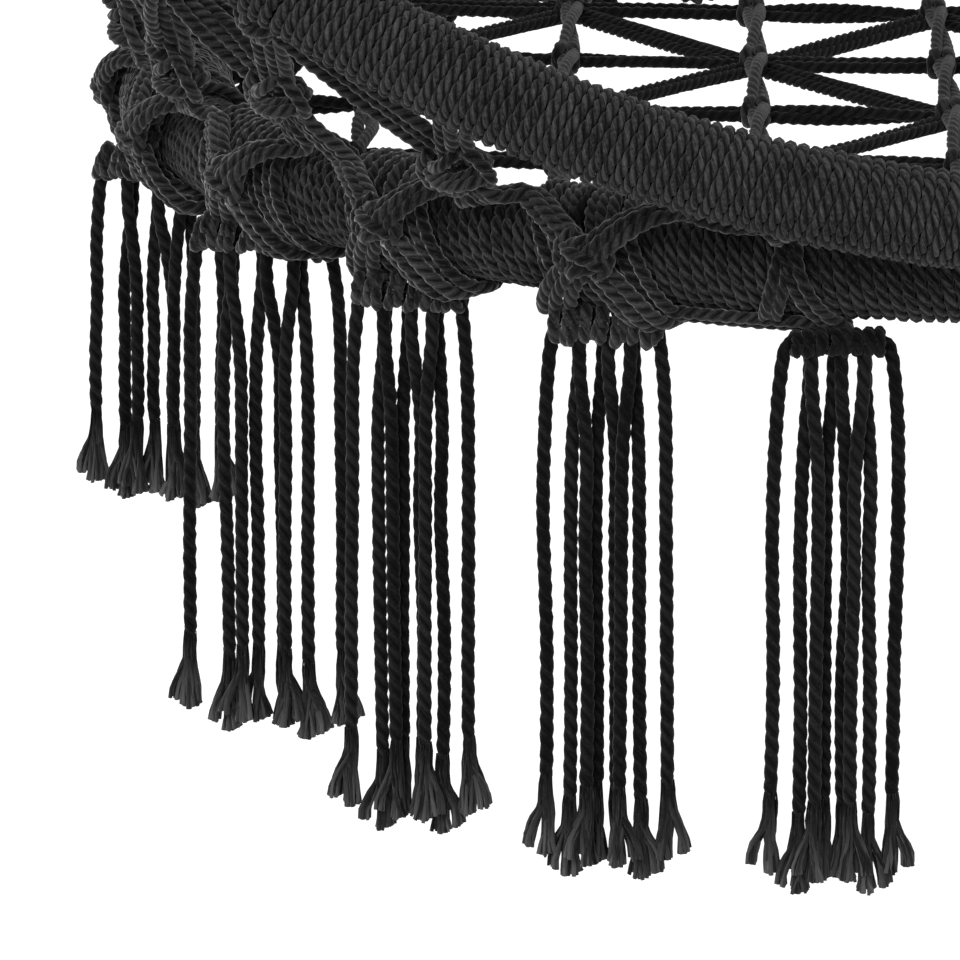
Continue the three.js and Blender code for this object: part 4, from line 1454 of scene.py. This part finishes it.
def makeRing():
    # A bent wire, closed by a weld with a small rippled bead
    steps, around = 144, 24
    turn = 2 * math.pi * np.arange(steps) / steps
    ripple = 1 + weld["ripple"] * np.sin(weld["ripples"] * turn)
    bead = np.exp(-(((turn - weld["at"]) / weld["wide"]) ** 2)) * ripple
    wire = hanging["wire"] / 2 * (1 + weld["rise"] * bead)
    spread = 2 * math.pi * np.arange(around) / around
    reach = (hanging["bore"] + hanging["wire"]) / 2
    radius = reach + wire[:, None] * np.cos(spread)
    middle = lowerWire + (0, 0, reach)
    points = middle + np.stack([radius * np.sin(turn)[:, None], wire[:, None] * np.sin(spread),
                                radius * np.cos(turn)[:, None]], -1)
    i, j = (grid.ravel() for grid in np.meshgrid(np.arange(steps), np.arange(around), indexing="ij"))
    corners = [(i, j), (i, j + 1), (i + 1, j + 1), (i + 1, j)]
    quads = np.stack([(a % steps) * around + b % around for a, b in corners], -1)
    mesh = bpy.data.meshes.new("hanging_ring")
    mesh.from_pydata(points.reshape(-1, 3).tolist(), [], quads.tolist())
    mesh.shade_smooth()
    layer = mesh.uv_layers.new(name="OFBake")
    spots = np.stack([np.stack([a / steps, b / around], -1) for a, b in corners], 1)
    layer.uv.foreach_set("vector", spots.ravel())
    mesh.materials.append(ringSteel)
    piece = bpy.data.objects.new("hanging_ring_wire", mesh)
    scene.collection.objects.link(piece)
    settle(piece, "hanger", "hanging_ring", "ring_steel")


makeRing()

for node in ("back_hoop_tube", "seat_hoop_tube"):
    shown = bpy.data.objects[node]
    shown.data.materials.clear()
    shown.data.materials.append(hoopPaint)


# Light, floor and backdrop
studio = {
    "floor": -1.62,
    "floorAcross": 14.0,
    "paper": (0.86, 0.86, 0.86, 1),
    "paperSpeckle": (0.83, 0.83, 0.83, 1),
    "paperGlow": (0.55, 0.55, 0.55, 1),
    "world": 0.62,
    "keyPower": 34.0,
    "lampAcross": 1.1,
    "keyPlace": (-1.5, -2.0, 0.6),
    "fillPower": 10.0,
    "fillPlace": (1.9, -1.2, -0.6),
}


def behindEverything(nodes):
    # One where a ray from the camera, a mirror or glass meets this surface or the sky
    camera, mirror, glass = (nodes.node("ShaderNodeLightPath", out=k) for k in (0, 3, 6))
    larger = {"operation": "MAXIMUM"}
    return nodes.node("ShaderNodeMath", larger, camera, nodes.node("ShaderNodeMath", larger, mirror, glass))


def makeFloor():
    half = studio["floorAcross"] / 2
    corners = [(x * half, y * half, studio["floor"]) for x, y in ((-1, -1), (1, -1), (1, 1), (-1, 1))]
    mesh = bpy.data.meshes.new("floor")
    mesh.from_pydata(corners, [], [(0, 1, 2, 3)])
    floor = bpy.data.objects.new("floor", mesh)
    scene.collection.objects.link(floor)
    shader = Shader("paper")
    speckle = shader.noise(shader.node("ShaderNodeTexCoord", out=3), 30.0, 4.0)
    shader.finish(
        Base_Color=shader.mixed(speckle, studio["paper"], studio["paperSpeckle"]),
        Roughness=0.9,
        Emission_Color=shader.mixed(behindEverything(shader), (0, 0, 0, 1), studio["paperGlow"]),
        Emission_Strength=1.0,
    )
    mesh.materials.append(shader.material)


def makeWorld():
    world = bpy.data.worlds.new("studio")
    world.use_nodes = True
    tree = world.node_tree
    tree.nodes.clear()
    sky = Nodes(tree)
    strength = behindEverything(sky) * (1 - studio["world"]) + studio["world"]
    light = sky.node("ShaderNodeBackground", None, (1, 1, 1, 1), strength)
    out = tree.nodes.new("ShaderNodeOutputWorld")
    tree.links.new(light.link, out.inputs[0])
    scene.world = world


def makeLamp(name, place, power, across):
    light = bpy.data.lights.new(name, "AREA")
    light.energy = power
    light.size = across
    lamp = bpy.data.objects.new(name, light)
    lamp.location = place
    aim = Vector(seatCentre) - lamp.location
    lamp.rotation_euler = aim.to_track_quat("-Z", "Y").to_euler()
    scene.collection.objects.link(lamp)


makeFloor()
makeWorld()
makeLamp("key", studio["keyPlace"], studio["keyPower"], studio["lampAcross"])
makeLamp("fill", studio["fillPlace"], studio["fillPower"], studio["lampAcross"])
scene.view_settings.view_transform = "Standard"
print("lit")
